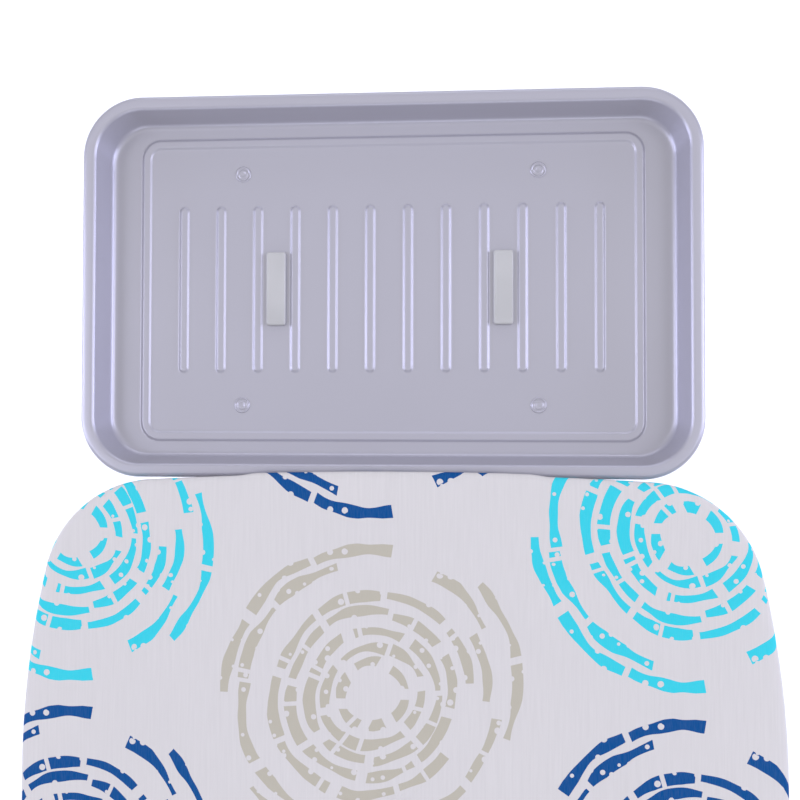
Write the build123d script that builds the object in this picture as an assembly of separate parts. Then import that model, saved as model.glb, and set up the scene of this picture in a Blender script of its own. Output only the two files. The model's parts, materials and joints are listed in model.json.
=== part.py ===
from build123d import *
from math import asin, cos, degrees, radians, sin, tan
import os

# A folding ironing board, in millimetres. X is across the board, +Y runs from the nose to the iron rest,
# Z is up. The origin is on the floor, under the middle of the whole length.

# ---- board top ----
TOP_Z = 880.0  # upper face of the cover
BOARD_WIDTH = 442.0
BOARD_LENGTH = 1200.0
COVER_T = 1.0
FELT_T = 7.0
PANEL_T = 0.8
END_BOW_R = 2600.0  # the wide end bows outward a little
END_BOW_DEG = 3.2
CORNER_R = 68.0
CORNER_DEG = 74.0
FLARE_DEG = 90.0 - END_BOW_DEG - CORNER_DEG
TAPER_R = 2000.0
TAPER_DEG = 16.0
SHOULDER_R = 600.0
SHOULDER_DEG = 20.0
NOSE_DEG = 90.0 - TAPER_DEG - SHOULDER_DEG
SKIRT_INSET = 4.9  # the skirt of the cover sits in under the overhanging felt
SKIRT_DROP = 29.4
HEM_WIDTH = 34.5
ELASTIC_D = 2.4
TEXTILE_GAP = 0.1  # between the cover and what lies inside it

# ---- iron rest tray ----
TRAY_X = -6.0  # the tray sits a little to one side of the centre line
TRAY_W = 369.0
TRAY_L = 229.0
TRAY_OVERLAP = 3.4  # the cover's end reaches over the near rim by this much
TRAY_CORNER_R = 36.0
SHEET_T = 1.0
RIM_Z = TOP_Z - 10.0
TRAY_DEPTH = 19.5
RIM_WIDTH = 8.0
RIM_LIP = 7.0
RIM_EDGE_R = 3.0
WALL_FOOT_R = 5.0
WALL_RUN = 4.5  # how far the sloped wall comes in over its height
BEAD_W = 308.0  # outer size of the stiffening bead pressed round the ribs
BEAD_L = 187.0
BEAD_CORNER_R = 12.0
RIB_COUNT = 12
RIB_PITCH = 23.1
RIB_LENGTH = 103.6
RIB_WIDTH = 6.6  # the bead has the same section as the ribs
RIB_RISE = 1.5
RIVET_X = 90.4
RIVET_Y = 71.2
RIVET_HEAD_D = 10.0
RIVET_HEAD_H = 0.9
RIVET_HEAD_EDGE_R = 0.6
RIVET_D = 5.0
PAD_X = 3.0 * RIB_PITCH
PAD_W = 12.0
PAD_L = 45.0
PAD_H = 3.2
PAD_CORNER_R = 2.5
PAD_EDGE_R = 1.0

# ---- frame ----
TUBE_D = 18.0
TUBE_WALL = 1.0
TUBE_INSET = 15.1
PANEL_INSET = 6.1
HOLE_D = 20.0
HOLE_PITCH = 46.0
BAR = 15.0  # square section of cross members and tray arms
BAR_WALL = 1.0
CROSS_MEMBERS_FROM_END = [58.0, 112.0, 330.0, 560.0, 745.0, 930.0]
ARM_INNER_FROM_END = 120.0
ARM_PAST_RIVET = 20.0
END_CAP_T = 3.0
END_CAP_EDGE_R = 1.0
BOLT_D = 6.0
BOLT_HEAD_R = 5.5
BOLT_HEAD_H = 4.0
BOLT_REACH = 6.0
SPACER_D = 13.0

# ---- legs ----
PIVOT_Z = 834.0
PIVOT_FROM_END = 130.0
UPPER_ARM = 400.0  # pivot to scissor crossing
LOWER_ARM = 600.0  # scissor crossing to foot
FOOT_Z = 15.0
LEG_D = 22.0
LEG_WALL = 1.0
OUTER_X = 150.0
INNER_X = 118.0
KNUCKLE_R = 12.5
KNUCKLE_REACH = 22.0
KNUCKLE_PLUG = 18.0
ROD_D = 12.0
ROD_REACH = 172.0
ROD_CAP_D = 18.0
ROD_CAP_CUP = 4.0
ROD_CAP_END = 3.0
BRACKET_T = 3.0
BRACKET_SIDE_GAP = 2.0
BRACKET_REACH = 16.0  # from the pivot, along the board and down
BRACKET_CORNER_R = 12.0
BRACKET_PAST_MEMBER = 4.0
BRACKET_RIVET_X = 8.0  # from the middle of the bracket
BRACKET_RIVET_D = 9.0
BRACKET_RIVET_H = 2.0
BRACKET_RIVET_EDGE_R = 1.5
FOOT_BAR_REACH = 195.0
FOOT_CAP_R = 16.5
FOOT_CAP_L = 32.0
FOOT_CAP_END = 5.0
FOOT_CAP_EDGE_R = 5.0
BRACE_D = 16.0
OUTER_BRACE_AT = 720.0  # from the pivot, along the leg
INNER_BRACE_AT = 620.0
SCISSOR_BOLT_D = 8.0
SCISSOR_BOLT_END = 9.0
SCISSOR_HEAD_D = 16.0
SCISSOR_HEAD_H = 4.0
SCISSOR_HEAD_EDGE_R = 2.0
SCISSOR_NUT_R = 7.5
SCISSOR_NUT_H = 6.5
SCISSOR_SPACER_D = 18.0
CLEARANCE = 0.06
FIT_GAP = 0.3

# ---- height latch ----
RAIL_X = 95.0
RAIL_T = 3.0
RAIL_UNDER_SLOT = 4.5
RAIL_PAST_SLOT = 40.0
SLOT_H = 16.5
SLOT_SPARE = 1.0
GLIDE_D = 16.0
GLIDE_FLANGE_D = 22.0
GLIDE_FLANGE_T = 3.0
GLIDE_END = 4.0
GLIDE_GAP = 0.5
RACK_T = 3.0
RACK_X = (-15.0, 19.0)
RACK_WINDOW_X = (-7.5, 12.5)
RACK_WINDOW_HALF_L = 4.0
RACK_PAST_RAIL = 10.0
RACK_RIVET_X = 15.5  # beside the pawl's track
FLANGE_T = 2.0
FLANGE_W = 22.0
FLANGE_RIVET_X = 13.0  # from the middle of the rail
RAIL_RIVET_D = 7.0
RAIL_RIVET_H = 1.6
RAIL_RIVET_EDGE_R = 1.2
WELD_GAP = 0.15
PAWL_Y = -34.0  # from the slide bar
RACK_STEPS = 8
LEVER_PIN_X = 60.0
LEVER_PIN_Z = 812.0
LEVER_Z = 806.0
LEVER_T = 4.0
LEVER_W = 16.0
LEVER_END_X = 188.0
GRIP_START_X = 140.0
GRIP_END = 4.0
GRIP_HALF_W = 12.0
GRIP_HALF_H = 7.0
GRIP_EDGE_R = 5.0
PAWL_HALF_W = 5.0
PAWL_HALF_T = 2.0
PAWL_DROP = 1.3  # the pawl stands this far under the rack when the hand end is let go
BOSS_D = 12.0
PIN_D = 5.0
SPRING_D = 11.0
SPRING_BORE = 5.6
SPRING_L = 6.8
SPRING_GAP = 0.2
PIN_PAST_NEAR = 8.0
PIN_PAST_FAR = 3.0
CARRIAGE_T = 3.0
CARRIAGE_EAR_X = 64.0
CARRIAGE_EAR_R = 12.0
CARRIAGE_TOP = 14.0  # above the slide bar
CARRIAGE_CHEEK_HALF_W = 10.0
CARRIAGE_CHEEK_DROP = 7.0
CARRIAGE_WINDOW_HALF_W = 14.0
CARRIAGE_WINDOW_HALF_L = 7.0

# ---- worked out ----
OVERALL_LENGTH = BOARD_LENGTH + TRAY_L - TRAY_OVERLAP
END_Y = OVERALL_LENGTH / 2 - TRAY_L + TRAY_OVERLAP
NOSE_Y = END_Y - BOARD_LENGTH
FELT_TOP = TOP_Z - COVER_T
PANEL_TOP = FELT_TOP - FELT_T
PANEL_BOTTOM = PANEL_TOP - PANEL_T
TUBE_Z = PANEL_BOTTOM - TUBE_D / 2
MEMBER_BOTTOM = PANEL_BOTTOM - BAR
SKIRT_BOTTOM = TOP_Z - SKIRT_DROP
TRAY_Y = END_Y - TRAY_OVERLAP + TRAY_L / 2
FLOOR_Z = RIM_Z - TRAY_DEPTH
ARM_TOP = FLOOR_Z - SHEET_T
RIB_TOP = FLOOR_Z + RIB_RISE
PIVOT_Y = END_Y - PIVOT_FROM_END
LEG = UPPER_ARM + LOWER_ARM
THETA = asin((PIVOT_Z - FOOT_Z) / LEG)  # leg angle above the floor when the board stands
CROSS_Y = PIVOT_Y - UPPER_ARM * cos(THETA)
CROSS_Z = PIVOT_Z - UPPER_ARM * sin(THETA)
SLIDE_Y = PIVOT_Y - 2 * UPPER_ARM * cos(THETA)
FOLDED_THETA = radians(4.0)
SLIDE_FOLDED_Y = PIVOT_Y - 2 * UPPER_ARM * cos(FOLDED_THETA)
OUTER_FOOT_Y = PIVOT_Y - LEG * cos(THETA)
INNER_FOOT_Y = CROSS_Y + LOWER_ARM * cos(THETA)


def corner_x():
    """Half-width reached at the end of the corner arc."""
    bow = END_BOW_R * sin(radians(END_BOW_DEG))
    turn = sin(radians(END_BOW_DEG + CORNER_DEG)) - sin(radians(END_BOW_DEG))
    return bow + CORNER_R * turn


FLARE_R = (BOARD_WIDTH / 2 - corner_x()) / (1 - sin(radians(END_BOW_DEG + CORNER_DEG)))


def outline_arcs():
    """Radius and turn of each arc of the right half, from the wide end on. None is the straight side."""
    a = radians(TAPER_DEG)
    b = radians(TAPER_DEG + SHOULDER_DEG)
    left_over = BOARD_WIDTH / 2 - TAPER_R * (1 - cos(a)) - SHOULDER_R * (cos(a) - cos(b))
    nose_r = left_over / cos(b)
    wide_end = END_BOW_R * (1 - cos(radians(END_BOW_DEG)))
    wide_end += CORNER_R * (cos(radians(END_BOW_DEG)) - cos(radians(END_BOW_DEG + CORNER_DEG)))
    wide_end += FLARE_R * cos(radians(END_BOW_DEG + CORNER_DEG))
    taper = TAPER_R * sin(a) + SHOULDER_R * (sin(b) - sin(a)) + nose_r * (1 - sin(b))
    side = BOARD_LENGTH - wide_end - taper
    return [
        (END_BOW_R, END_BOW_DEG),
        (CORNER_R, CORNER_DEG),
        (FLARE_R, FLARE_DEG),
        (None, side),
        (TAPER_R, TAPER_DEG),
        (SHOULDER_R, SHOULDER_DEG),
        (nose_r, NOSE_DEG),
    ]


def half_edges(inset, first=0, last=6):
    """Edges of the right half of the outline, drawn inset from the cover's edge."""
    edges = []
    at = Vector(0, END_Y - inset)
    heading = 0.0
    for index, (radius, turn) in enumerate(outline_arcs()):
        way = Vector(cos(radians(heading)), sin(radians(heading)))
        if radius is None:
            edge = Edge.make_line(at, at + way * turn)
        else:
            edge = JernArc(at, way, radius - inset, -turn).edge()
            heading -= turn
        at = edge @ 1
        if first <= index <= last:
            edges.append(edge)
    return edges


def outline_face(inset):
    right = half_edges(inset)
    left = [edge.mirror(Plane.YZ) for edge in right]
    return make_face(Wire(right + left))


def slab(inset, bottom, top):
    return extrude(Pos(0, 0, bottom) * outline_face(inset), top - bottom)


def half_width(from_end, inset=0.0):
    """Half-width of the outline at a distance from the wide end."""
    y = END_Y - from_end
    line = Edge.make_line((0, y), (BOARD_WIDTH, y))
    hits = [
        point.X
        for edge in half_edges(inset)
        for point in edge.intersect(line) or []
    ]
    return max(hits)


def tube_along(edges, z, diameter, wall):
    """A round tube swept along tangent edges that lie flat at height z."""
    path = Pos(0, 0, z) * Wire(edges)
    start = Plane(origin=path @ 0, z_dir=path % 0)
    ring = start * (Circle(diameter / 2) - Circle(diameter / 2 - wall))
    return sweep(ring, path)


def rod_x(x0, x1, y, z, diameter):
    """A round bar along X."""
    middle = (x0 + x1) / 2
    return Pos(middle, y, z) * Rot(0, 90, 0) * Cylinder(diameter / 2, abs(x1 - x0))


def rod_y(x, y0, y1, z, diameter):
    return Pos(x, (y0 + y1) / 2, z) * Rot(90, 0, 0) * Cylinder(diameter / 2, abs(y1 - y0))


def rod_z(x, y, z0, z1, diameter):
    return Pos(x, y, (z0 + z1) / 2) * Cylinder(diameter / 2, abs(z1 - z0))


def block(x0, x1, y0, y1, z0, z1):
    size = (abs(x1 - x0), abs(y1 - y0), abs(z1 - z0))
    return Pos((x0 + x1) / 2, (y0 + y1) / 2, (z0 + z1) / 2) * Box(*size)


def rounded_prism(width, length, radius, bottom, top):
    """An upright prism with rounded corners, centred on the tray."""
    return Pos(TRAY_X, TRAY_Y, bottom) * extrude(RectangleRounded(width, length, radius), top - bottom)


# ---- board top pieces ----
def perforated_panel():
    face = outline_face(PANEL_INSET)
    reach = BOARD_WIDTH / 2 - PANEL_INSET
    rows = int(BOARD_LENGTH / (HOLE_PITCH * sin(radians(60))))
    keep_in = outline_face(PANEL_INSET + TUBE_D + HOLE_D / 2)
    holes = []
    for row in range(rows):
        y = NOSE_Y + HOLE_PITCH * sin(radians(60)) * (row + 0.5)
        shift = HOLE_PITCH / 2 if row % 2 else 0.0
        count = int(reach / HOLE_PITCH) + 1
        for column in range(-count, count + 1):
            x = column * HOLE_PITCH + shift
            if keep_in.is_inside((x, y, 0)):
                holes.append(Pos(x, y) * Circle(HOLE_D / 2))
    sheet = face - holes
    return Pos(0, 0, PANEL_BOTTOM) * extrude(sheet, PANEL_T)


def frame_end_tube():
    right = half_edges(TUBE_INSET, 0, 1)
    left = [edge.mirror(Plane.YZ) for edge in right]
    return tube_along(left[::-1] + right, TUBE_Z, TUBE_D, TUBE_WALL)


def frame_side_tube(side):
    edges = half_edges(TUBE_INSET, 2, 5)
    if side < 0:
        edges = [edge.mirror(Plane.YZ) for edge in edges]
    return tube_along(edges, TUBE_Z, TUBE_D, TUBE_WALL)


def frame_nose_tube():
    right = half_edges(TUBE_INSET, 6, 6)
    left = [edge.mirror(Plane.YZ) for edge in right]
    return tube_along(right + left, TUBE_Z, TUBE_D, TUBE_WALL)


def cross_member(from_end):
    """A square tube from side to side, cut to the round of the frame tubes it is welded to."""
    y = END_Y - from_end
    reach = half_width(from_end, TUBE_INSET)
    outer = block(-reach, reach, y - BAR / 2, y + BAR / 2, MEMBER_BOTTOM, PANEL_BOTTOM)
    bore = block(
        -reach,
        reach,
        y - BAR / 2 + BAR_WALL,
        y + BAR / 2 - BAR_WALL,
        MEMBER_BOTTOM + BAR_WALL,
        PANEL_BOTTOM - BAR_WALL,
    )
    member = outer - bore
    for side in (-1, 1):
        edges = half_edges(TUBE_INSET, 0, 5)
        if side < 0:
            edges = [edge.mirror(Plane.YZ) for edge in edges]
        for edge in edges:
            box = edge.bounding_box()
            if box.min.Y < y + BAR and box.max.Y > y - BAR:
                path = Pos(0, 0, TUBE_Z) * Wire([edge])
                start = Plane(origin=path @ 0, z_dir=path % 0)
                member -= sweep(start * Circle(TUBE_D / 2 + WELD_GAP), path)
    for arm_x in arm_positions(from_end):
        member -= rod_z(arm_x, y, MEMBER_BOTTOM - 1, MEMBER_BOTTOM + BAR_WALL + 1, BOLT_D)
    return max(member.solids(), key=lambda solid: solid.volume)


def arm_positions(from_end):
    """Where the tray arms are bolted under a cross member."""
    if from_end < ARM_INNER_FROM_END:
        return [TRAY_X - RIVET_X, TRAY_X + RIVET_X]
    return []


def bolt_rows():
    return [END_Y - s for s in CROSS_MEMBERS_FROM_END if s < ARM_INNER_FROM_END]


def underlay_felt():
    return slab(COVER_T + TEXTILE_GAP, PANEL_TOP, FELT_TOP)


def cover():
    """The fabric: top, overhanging edge, skirt round the tube and a hem turned under."""
    shell = slab(0, PANEL_TOP, TOP_Z) - slab(COVER_T, PANEL_TOP, FELT_TOP)
    skirt_top = PANEL_TOP - COVER_T
    inside = SKIRT_INSET + COVER_T
    ledge = slab(0, skirt_top, PANEL_TOP) - slab(inside, skirt_top, PANEL_TOP)
    skirt = slab(SKIRT_INSET, SKIRT_BOTTOM, skirt_top) - slab(inside, SKIRT_BOTTOM, skirt_top)
    hem = slab(inside, SKIRT_BOTTOM, SKIRT_BOTTOM + COVER_T)
    hem -= slab(SKIRT_INSET + HEM_WIDTH, SKIRT_BOTTOM, SKIRT_BOTTOM + COVER_T)
    return shell + ledge + skirt + hem


def cover_elastic():
    inset = SKIRT_INSET + HEM_WIDTH + ELASTIC_D / 2 + TEXTILE_GAP
    right = half_edges(inset)
    left = [edge.mirror(Plane.YZ) for edge in right]
    path = Pos(0, 0, SKIRT_BOTTOM + COVER_T / 2) * Wire(right + left)
    return sweep(Plane(origin=path @ 0, z_dir=path % 0) * Circle(ELASTIC_D / 2), path)


# ---- iron rest ----
def rib_slots(width, length, bottom, top):
    solids = []
    for index in range(RIB_COUNT):
        x = TRAY_X + (index - (RIB_COUNT - 1) / 2) * RIB_PITCH
        face = Pos(x, TRAY_Y, bottom) * Rot(0, 0, 90) * SlotOverall(length, width)
        solids.append(extrude(face, top - bottom))
    return solids


def bead(inset, bottom, top):
    """The rounded rectangle of the bead, or its hollow underside when inset on both flanks."""
    outer = rounded_prism(BEAD_W - 2 * inset, BEAD_L - 2 * inset, BEAD_CORNER_R - inset, bottom, top)
    inner_inset = RIB_WIDTH - inset
    inner = rounded_prism(
        BEAD_W - 2 * inner_inset, BEAD_L - 2 * inner_inset, BEAD_CORNER_R - inner_inset, bottom, top
    )
    return outer - inner


def rivet_points():
    return [(TRAY_X + sx * RIVET_X, TRAY_Y + sy * RIVET_Y) for sx in (-1, 1) for sy in (-1, 1)]


def iron_tray():
    floor_w = TRAY_W - 2 * RIM_WIDTH - 2 * WALL_RUN
    floor_l = TRAY_L - 2 * RIM_WIDTH - 2 * WALL_RUN
    floor_r = TRAY_CORNER_R - RIM_WIDTH - WALL_RUN
    slope = degrees(asin(WALL_RUN / TRAY_DEPTH))
    height = RIM_Z - FLOOR_Z
    hollow_face = Pos(TRAY_X, TRAY_Y, FLOOR_Z) * RectangleRounded(floor_w, floor_l, floor_r)
    hollow = extrude(hollow_face, height, taper=-slope)
    hollow = fillet(hollow.edges().group_by(Axis.Z)[0], WALL_FOOT_R)
    bowl_face = Pos(TRAY_X, TRAY_Y, ARM_TOP) * RectangleRounded(
        floor_w + 2 * SHEET_T, floor_l + 2 * SHEET_T, floor_r + SHEET_T
    )
    bowl = extrude(bowl_face, height, taper=-slope)
    bowl = fillet(bowl.edges().group_by(Axis.Z)[0], WALL_FOOT_R)
    rim = rounded_prism(TRAY_W, TRAY_L, TRAY_CORNER_R, RIM_Z - RIM_LIP, RIM_Z)
    rim = fillet(rim.edges().group_by(Axis.Z)[-1], RIM_EDGE_R)
    under = rounded_prism(
        TRAY_W - 2 * SHEET_T,
        TRAY_L - 2 * SHEET_T,
        TRAY_CORNER_R - SHEET_T,
        RIM_Z - RIM_LIP,
        RIM_Z - SHEET_T,
    )
    under = fillet(under.edges().group_by(Axis.Z)[-1], RIM_EDGE_R - SHEET_T)
    tray = rim - under + bowl - hollow
    tray += bead(0, FLOOR_Z, RIB_TOP)
    tray += rib_slots(RIB_WIDTH, RIB_LENGTH, FLOOR_Z, RIB_TOP)
    tray -= bead(SHEET_T, ARM_TOP, RIB_TOP - SHEET_T)
    tray -= rib_slots(RIB_WIDTH - 2 * SHEET_T, RIB_LENGTH - 2 * SHEET_T, ARM_TOP, RIB_TOP - SHEET_T)
    for x, y in rivet_points():
        tray -= rod_z(x, y, ARM_TOP, FLOOR_Z, RIVET_D)
    return tray


def tray_rivets():
    rivets = []
    for x, y in rivet_points():
        head = rod_z(x, y, FLOOR_Z, FLOOR_Z + RIVET_HEAD_H, RIVET_HEAD_D)
        head = fillet(head.edges().group_by(Axis.Z)[-1], RIVET_HEAD_EDGE_R)
        shank = rod_z(x, y, ARM_TOP - 2 * BAR_WALL, FLOOR_Z, RIVET_D)
        rivets.append(head + shank)
    return rivets


def tray_pad(side):
    face = Pos(TRAY_X + side * PAD_X, TRAY_Y, FLOOR_Z) * RectangleRounded(PAD_W, PAD_L, PAD_CORNER_R)
    pad = extrude(face, PAD_H)
    return fillet(pad.edges().group_by(Axis.Z)[-1], PAD_EDGE_R)


def tray_arm(side):
    x = TRAY_X + side * RIVET_X
    y0 = END_Y - ARM_INNER_FROM_END
    y1 = TRAY_Y + RIVET_Y + ARM_PAST_RIVET
    z0 = ARM_TOP - BAR
    arm = block(x - BAR / 2, x + BAR / 2, y0, y1, z0, ARM_TOP)
    hollow = BAR / 2 - BAR_WALL
    arm -= block(x - hollow, x + hollow, y0, y1, z0 + BAR_WALL, ARM_TOP - BAR_WALL)
    for y in bolt_rows():
        arm -= rod_z(x, y, z0 - 1, ARM_TOP + 1, BOLT_D)
    for y in (TRAY_Y - RIVET_Y, TRAY_Y + RIVET_Y):
        arm -= rod_z(x, y, ARM_TOP - BAR_WALL, ARM_TOP, RIVET_D)
    return arm


def arm_end_caps():
    caps = []
    for side in (-1, 1):
        x = TRAY_X + side * RIVET_X
        y = TRAY_Y + RIVET_Y + ARM_PAST_RIVET
        z = ARM_TOP - BAR / 2
        cap = Pos(x, y + END_CAP_T / 2, z) * Box(BAR, END_CAP_T, BAR)
        caps.append(fillet(cap.edges().group_by(Axis.Y)[-1], END_CAP_EDGE_R))
    return caps


def arm_bolts():
    bolts = []
    for y in bolt_rows():
        for x in (TRAY_X - RIVET_X, TRAY_X + RIVET_X):
            hexagon = Pos(x, y, ARM_TOP - BAR - BOLT_HEAD_H) * RegularPolygon(BOLT_HEAD_R, 6)
            head = extrude(hexagon, BOLT_HEAD_H)
            shank = rod_z(x, y, ARM_TOP - BAR, MEMBER_BOTTOM + BOLT_REACH, BOLT_D)
            bolts.append(head + shank)
    return bolts


def arm_spacers():
    spacers = []
    for y in bolt_rows():
        for x in (TRAY_X - RIVET_X, TRAY_X + RIVET_X):
            bore = rod_z(x, y, ARM_TOP, MEMBER_BOTTOM, BOLT_D)
            spacers.append(rod_z(x, y, ARM_TOP, MEMBER_BOTTOM, SPACER_D) - bore)
    return spacers


# ---- leg mounting ----
def leg_bracket(side):
    """An upside-down channel under the second cross member, with the pivot rod through its cheeks."""
    half = LEG_D / 2 + BRACKET_SIDE_GAP + BRACKET_T
    inner_x = OUTER_X - half
    outer_x = OUTER_X + half
    y0 = PIVOT_Y - BRACKET_REACH
    y1 = END_Y - CROSS_MEMBERS_FROM_END[1] + BAR / 2 + BRACKET_PAST_MEMBER
    web = block(inner_x, outer_x, y0, y1, MEMBER_BOTTOM - BRACKET_T, MEMBER_BOTTOM)
    bracket = web
    for x in (inner_x, outer_x - BRACKET_T):
        cheek_end = PIVOT_Y + BRACKET_REACH
        cheek = block(x, x + BRACKET_T, y0, cheek_end, PIVOT_Z - BRACKET_REACH, MEMBER_BOTTOM)
        bracket += fillet(cheek.edges().filter_by(Axis.X).group_by(Axis.Z)[0], BRACKET_CORNER_R)
    bracket -= rod_x(inner_x, outer_x, PIVOT_Y, PIVOT_Z, ROD_D)
    return bracket if side > 0 else bracket.mirror(Plane.YZ)


def bracket_rivets():
    y = END_Y - CROSS_MEMBERS_FROM_END[1]
    bottom = MEMBER_BOTTOM - BRACKET_T
    heads = []
    for middle in (-OUTER_X, OUTER_X):
        for x in (middle - BRACKET_RIVET_X, middle + BRACKET_RIVET_X):
            head = rod_z(x, y, bottom - BRACKET_RIVET_H, bottom, BRACKET_RIVET_D)
            heads.append(fillet(head.edges().group_by(Axis.Z)[0], BRACKET_RIVET_EDGE_R))
    return heads


def pivot_rod():
    return rod_x(-ROD_REACH, ROD_REACH, PIVOT_Y, PIVOT_Z, ROD_D)


def pivot_caps():
    caps = []
    for side in (-1, 1):
        mouth = side * (ROD_REACH - ROD_CAP_CUP)
        cap = rod_x(mouth, side * (ROD_REACH + ROD_CAP_END), PIVOT_Y, PIVOT_Z, ROD_CAP_D)
        bore = rod_x(mouth, side * ROD_REACH, PIVOT_Y, PIVOT_Z, ROD_D)
        caps.append(cap - bore)
    return caps


# ---- guide rails and rack ----
def rail_span():
    """Ends of the rails: past the folded slide bar and past the standing one."""
    return SLIDE_FOLDED_Y - RAIL_PAST_SLOT, SLIDE_Y + RAIL_PAST_SLOT


def guide_rail(side):
    y0, y1 = rail_span()
    x0 = RAIL_X - RAIL_T / 2
    x1 = RAIL_X + RAIL_T / 2
    web_bottom = PIVOT_Z - SLOT_H / 2 - RAIL_UNDER_SLOT
    web = block(x0, x1, y0, y1, web_bottom, MEMBER_BOTTOM)
    flange = block(x0 - FLANGE_W, x1, y0, y1, MEMBER_BOTTOM - FLANGE_T, MEMBER_BOTTOM)
    slot_l = SLIDE_Y - SLIDE_FOLDED_Y + SLOT_H + SLOT_SPARE
    slot_y = (SLIDE_Y + SLIDE_FOLDED_Y) / 2
    slot = Pos(RAIL_X, slot_y, PIVOT_Z) * Rot(0, 90, 0) * Rot(0, 0, 90) * extrude(
        SlotOverall(slot_l, SLOT_H), RAIL_T, both=True
    )
    rail = web + flange - slot
    return rail if side > 0 else rail.mirror(Plane.YZ)


def rack_strip():
    y0, y1 = rail_span()
    pawl_rest = SLIDE_Y + PAWL_Y
    pawl_folded = SLIDE_FOLDED_Y + PAWL_Y
    bottom = MEMBER_BOTTOM - RACK_T
    strip = block(*RACK_X, y0 - RACK_PAST_RAIL, y1, bottom, MEMBER_BOTTOM)
    for step in range(RACK_STEPS + 1):
        y = pawl_rest + (pawl_folded - pawl_rest) * step / RACK_STEPS
        window_y = (y - RACK_WINDOW_HALF_L, y + RACK_WINDOW_HALF_L)
        strip -= block(*RACK_WINDOW_X, *window_y, bottom, MEMBER_BOTTOM)
    return strip


def rail_rivets():
    flange_x = RAIL_X - FLANGE_RIVET_X
    heads = []
    for from_end in CROSS_MEMBERS_FROM_END[3:]:
        y = END_Y - from_end
        for x, thickness in ((-flange_x, FLANGE_T), (RACK_RIVET_X, RACK_T), (flange_x, FLANGE_T)):
            bottom = MEMBER_BOTTOM - thickness
            head = rod_z(x, y, bottom - RAIL_RIVET_H, bottom, RAIL_RIVET_D)
            heads.append(fillet(head.edges().group_by(Axis.Z)[0], RAIL_RIVET_EDGE_R))
    return heads


# ---- legs ----
def leg_plane(x, outer):
    """Local frame of a leg: origin at its upper pivot, Z running down the leg."""
    if outer:
        return Plane(origin=(x, PIVOT_Y, PIVOT_Z), z_dir=(0, -cos(THETA), -sin(THETA)), x_dir=(1, 0, 0))
    return Plane(origin=(x, SLIDE_Y, PIVOT_Z), z_dir=(0, cos(THETA), -sin(THETA)), x_dir=(1, 0, 0))


def leg_tube(x, outer, bolt_d):
    """A straight tube from the knuckle to the foot bar, drilled for the scissor bolt."""
    start = KNUCKLE_REACH
    length = LEG - start
    tube = Pos(0, 0, start) * extrude(Circle(LEG_D / 2) - Circle(LEG_D / 2 - LEG_WALL), length)
    tube -= Pos(0, 0, UPPER_ARM) * Rot(0, 90, 0) * Cylinder(bolt_d / 2, 2 * LEG_D)
    tube -= Pos(0, 0, LEG) * Rot(0, 90, 0) * Cylinder(LEG_D / 2, 2 * LEG_D)
    brace_at = OUTER_BRACE_AT if outer else INNER_BRACE_AT
    inward = -1 if x > 0 else 1
    tube -= Pos(inward * LEG_D / 2, 0, brace_at) * Rot(0, 90, 0) * Cylinder(BRACE_D / 2, LEG_D)
    return leg_plane(x, outer) * tube


def knuckle(x, outer, bore_d):
    """A plug in the end of a leg tube, with a round eye for the rod."""
    eye = Rot(0, 90, 0) * Cylinder(KNUCKLE_R, LEG_D)
    neck = extrude(Circle(LEG_D / 2), KNUCKLE_REACH)
    plug = extrude(Circle(LEG_D / 2 - LEG_WALL), KNUCKLE_REACH + KNUCKLE_PLUG)
    body = eye + neck + plug - Rot(0, 90, 0) * Cylinder(bore_d / 2, 2 * LEG_D)
    return leg_plane(x, outer) * body


def knuckles(outer):
    x = OUTER_X if outer else INNER_X
    bore = ROD_D + 2 * CLEARANCE if outer else ROD_D
    return [knuckle(side * x, outer, bore) for side in (-1, 1)]


def foot_bar(y):
    outer = rod_x(-FOOT_BAR_REACH, FOOT_BAR_REACH, y, FOOT_Z, LEG_D)
    return outer - rod_x(-FOOT_BAR_REACH, FOOT_BAR_REACH, y, FOOT_Z, LEG_D - 2 * LEG_WALL)


def foot_caps(y):
    """Rubber sleeves over the bar's ends, flat where they stand on the floor."""
    caps = []
    for side in (-1, 1):
        x0 = side * (FOOT_BAR_REACH - FOOT_CAP_L)
        x1 = side * (FOOT_BAR_REACH + FOOT_CAP_END)
        cap = rod_x(x0, x1, y, FOOT_Z, 2 * FOOT_CAP_R)
        cap = fillet(cap.edges().group_by(Axis.X)[-1 if side > 0 else 0], FOOT_CAP_EDGE_R)
        cap -= rod_x(x0, side * FOOT_BAR_REACH, y, FOOT_Z, LEG_D)
        cap -= block(x0, x1, y - FOOT_CAP_R, y + FOOT_CAP_R, FOOT_Z - FOOT_CAP_R, 0)
        caps.append(cap)
    return caps


def brace(x, outer, at):
    reach = x - LEG_D / 4
    tube = rod_x(-reach, reach, 0, 0, BRACE_D) - rod_x(-reach, reach, 0, 0, BRACE_D - 2 * LEG_WALL)
    tube = leg_plane(0, outer) * (Pos(0, 0, at) * tube)
    leg = Pos(0, 0, at - LEG_D) * extrude(Circle(LEG_D / 2), 2 * LEG_D)
    for side in (-1, 1):
        tube -= leg_plane(side * x, outer) * leg
    return tube


def scissor_bolts():
    bolts = []
    for side in (-1, 1):
        inner_end = INNER_X - LEG_D / 2 - SCISSOR_BOLT_END
        outer_end = OUTER_X + LEG_D / 2
        shank = rod_x(side * inner_end, side * outer_end, CROSS_Y, CROSS_Z, SCISSOR_BOLT_D)
        head_end = outer_end + SCISSOR_HEAD_H
        head = rod_x(side * outer_end, side * head_end, CROSS_Y, CROSS_Z, SCISSOR_HEAD_D)
        head = fillet(head.edges().group_by(Axis.X)[-1 if side > 0 else 0], SCISSOR_HEAD_EDGE_R)
        bolts.append(shank + head)
    return bolts


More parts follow.
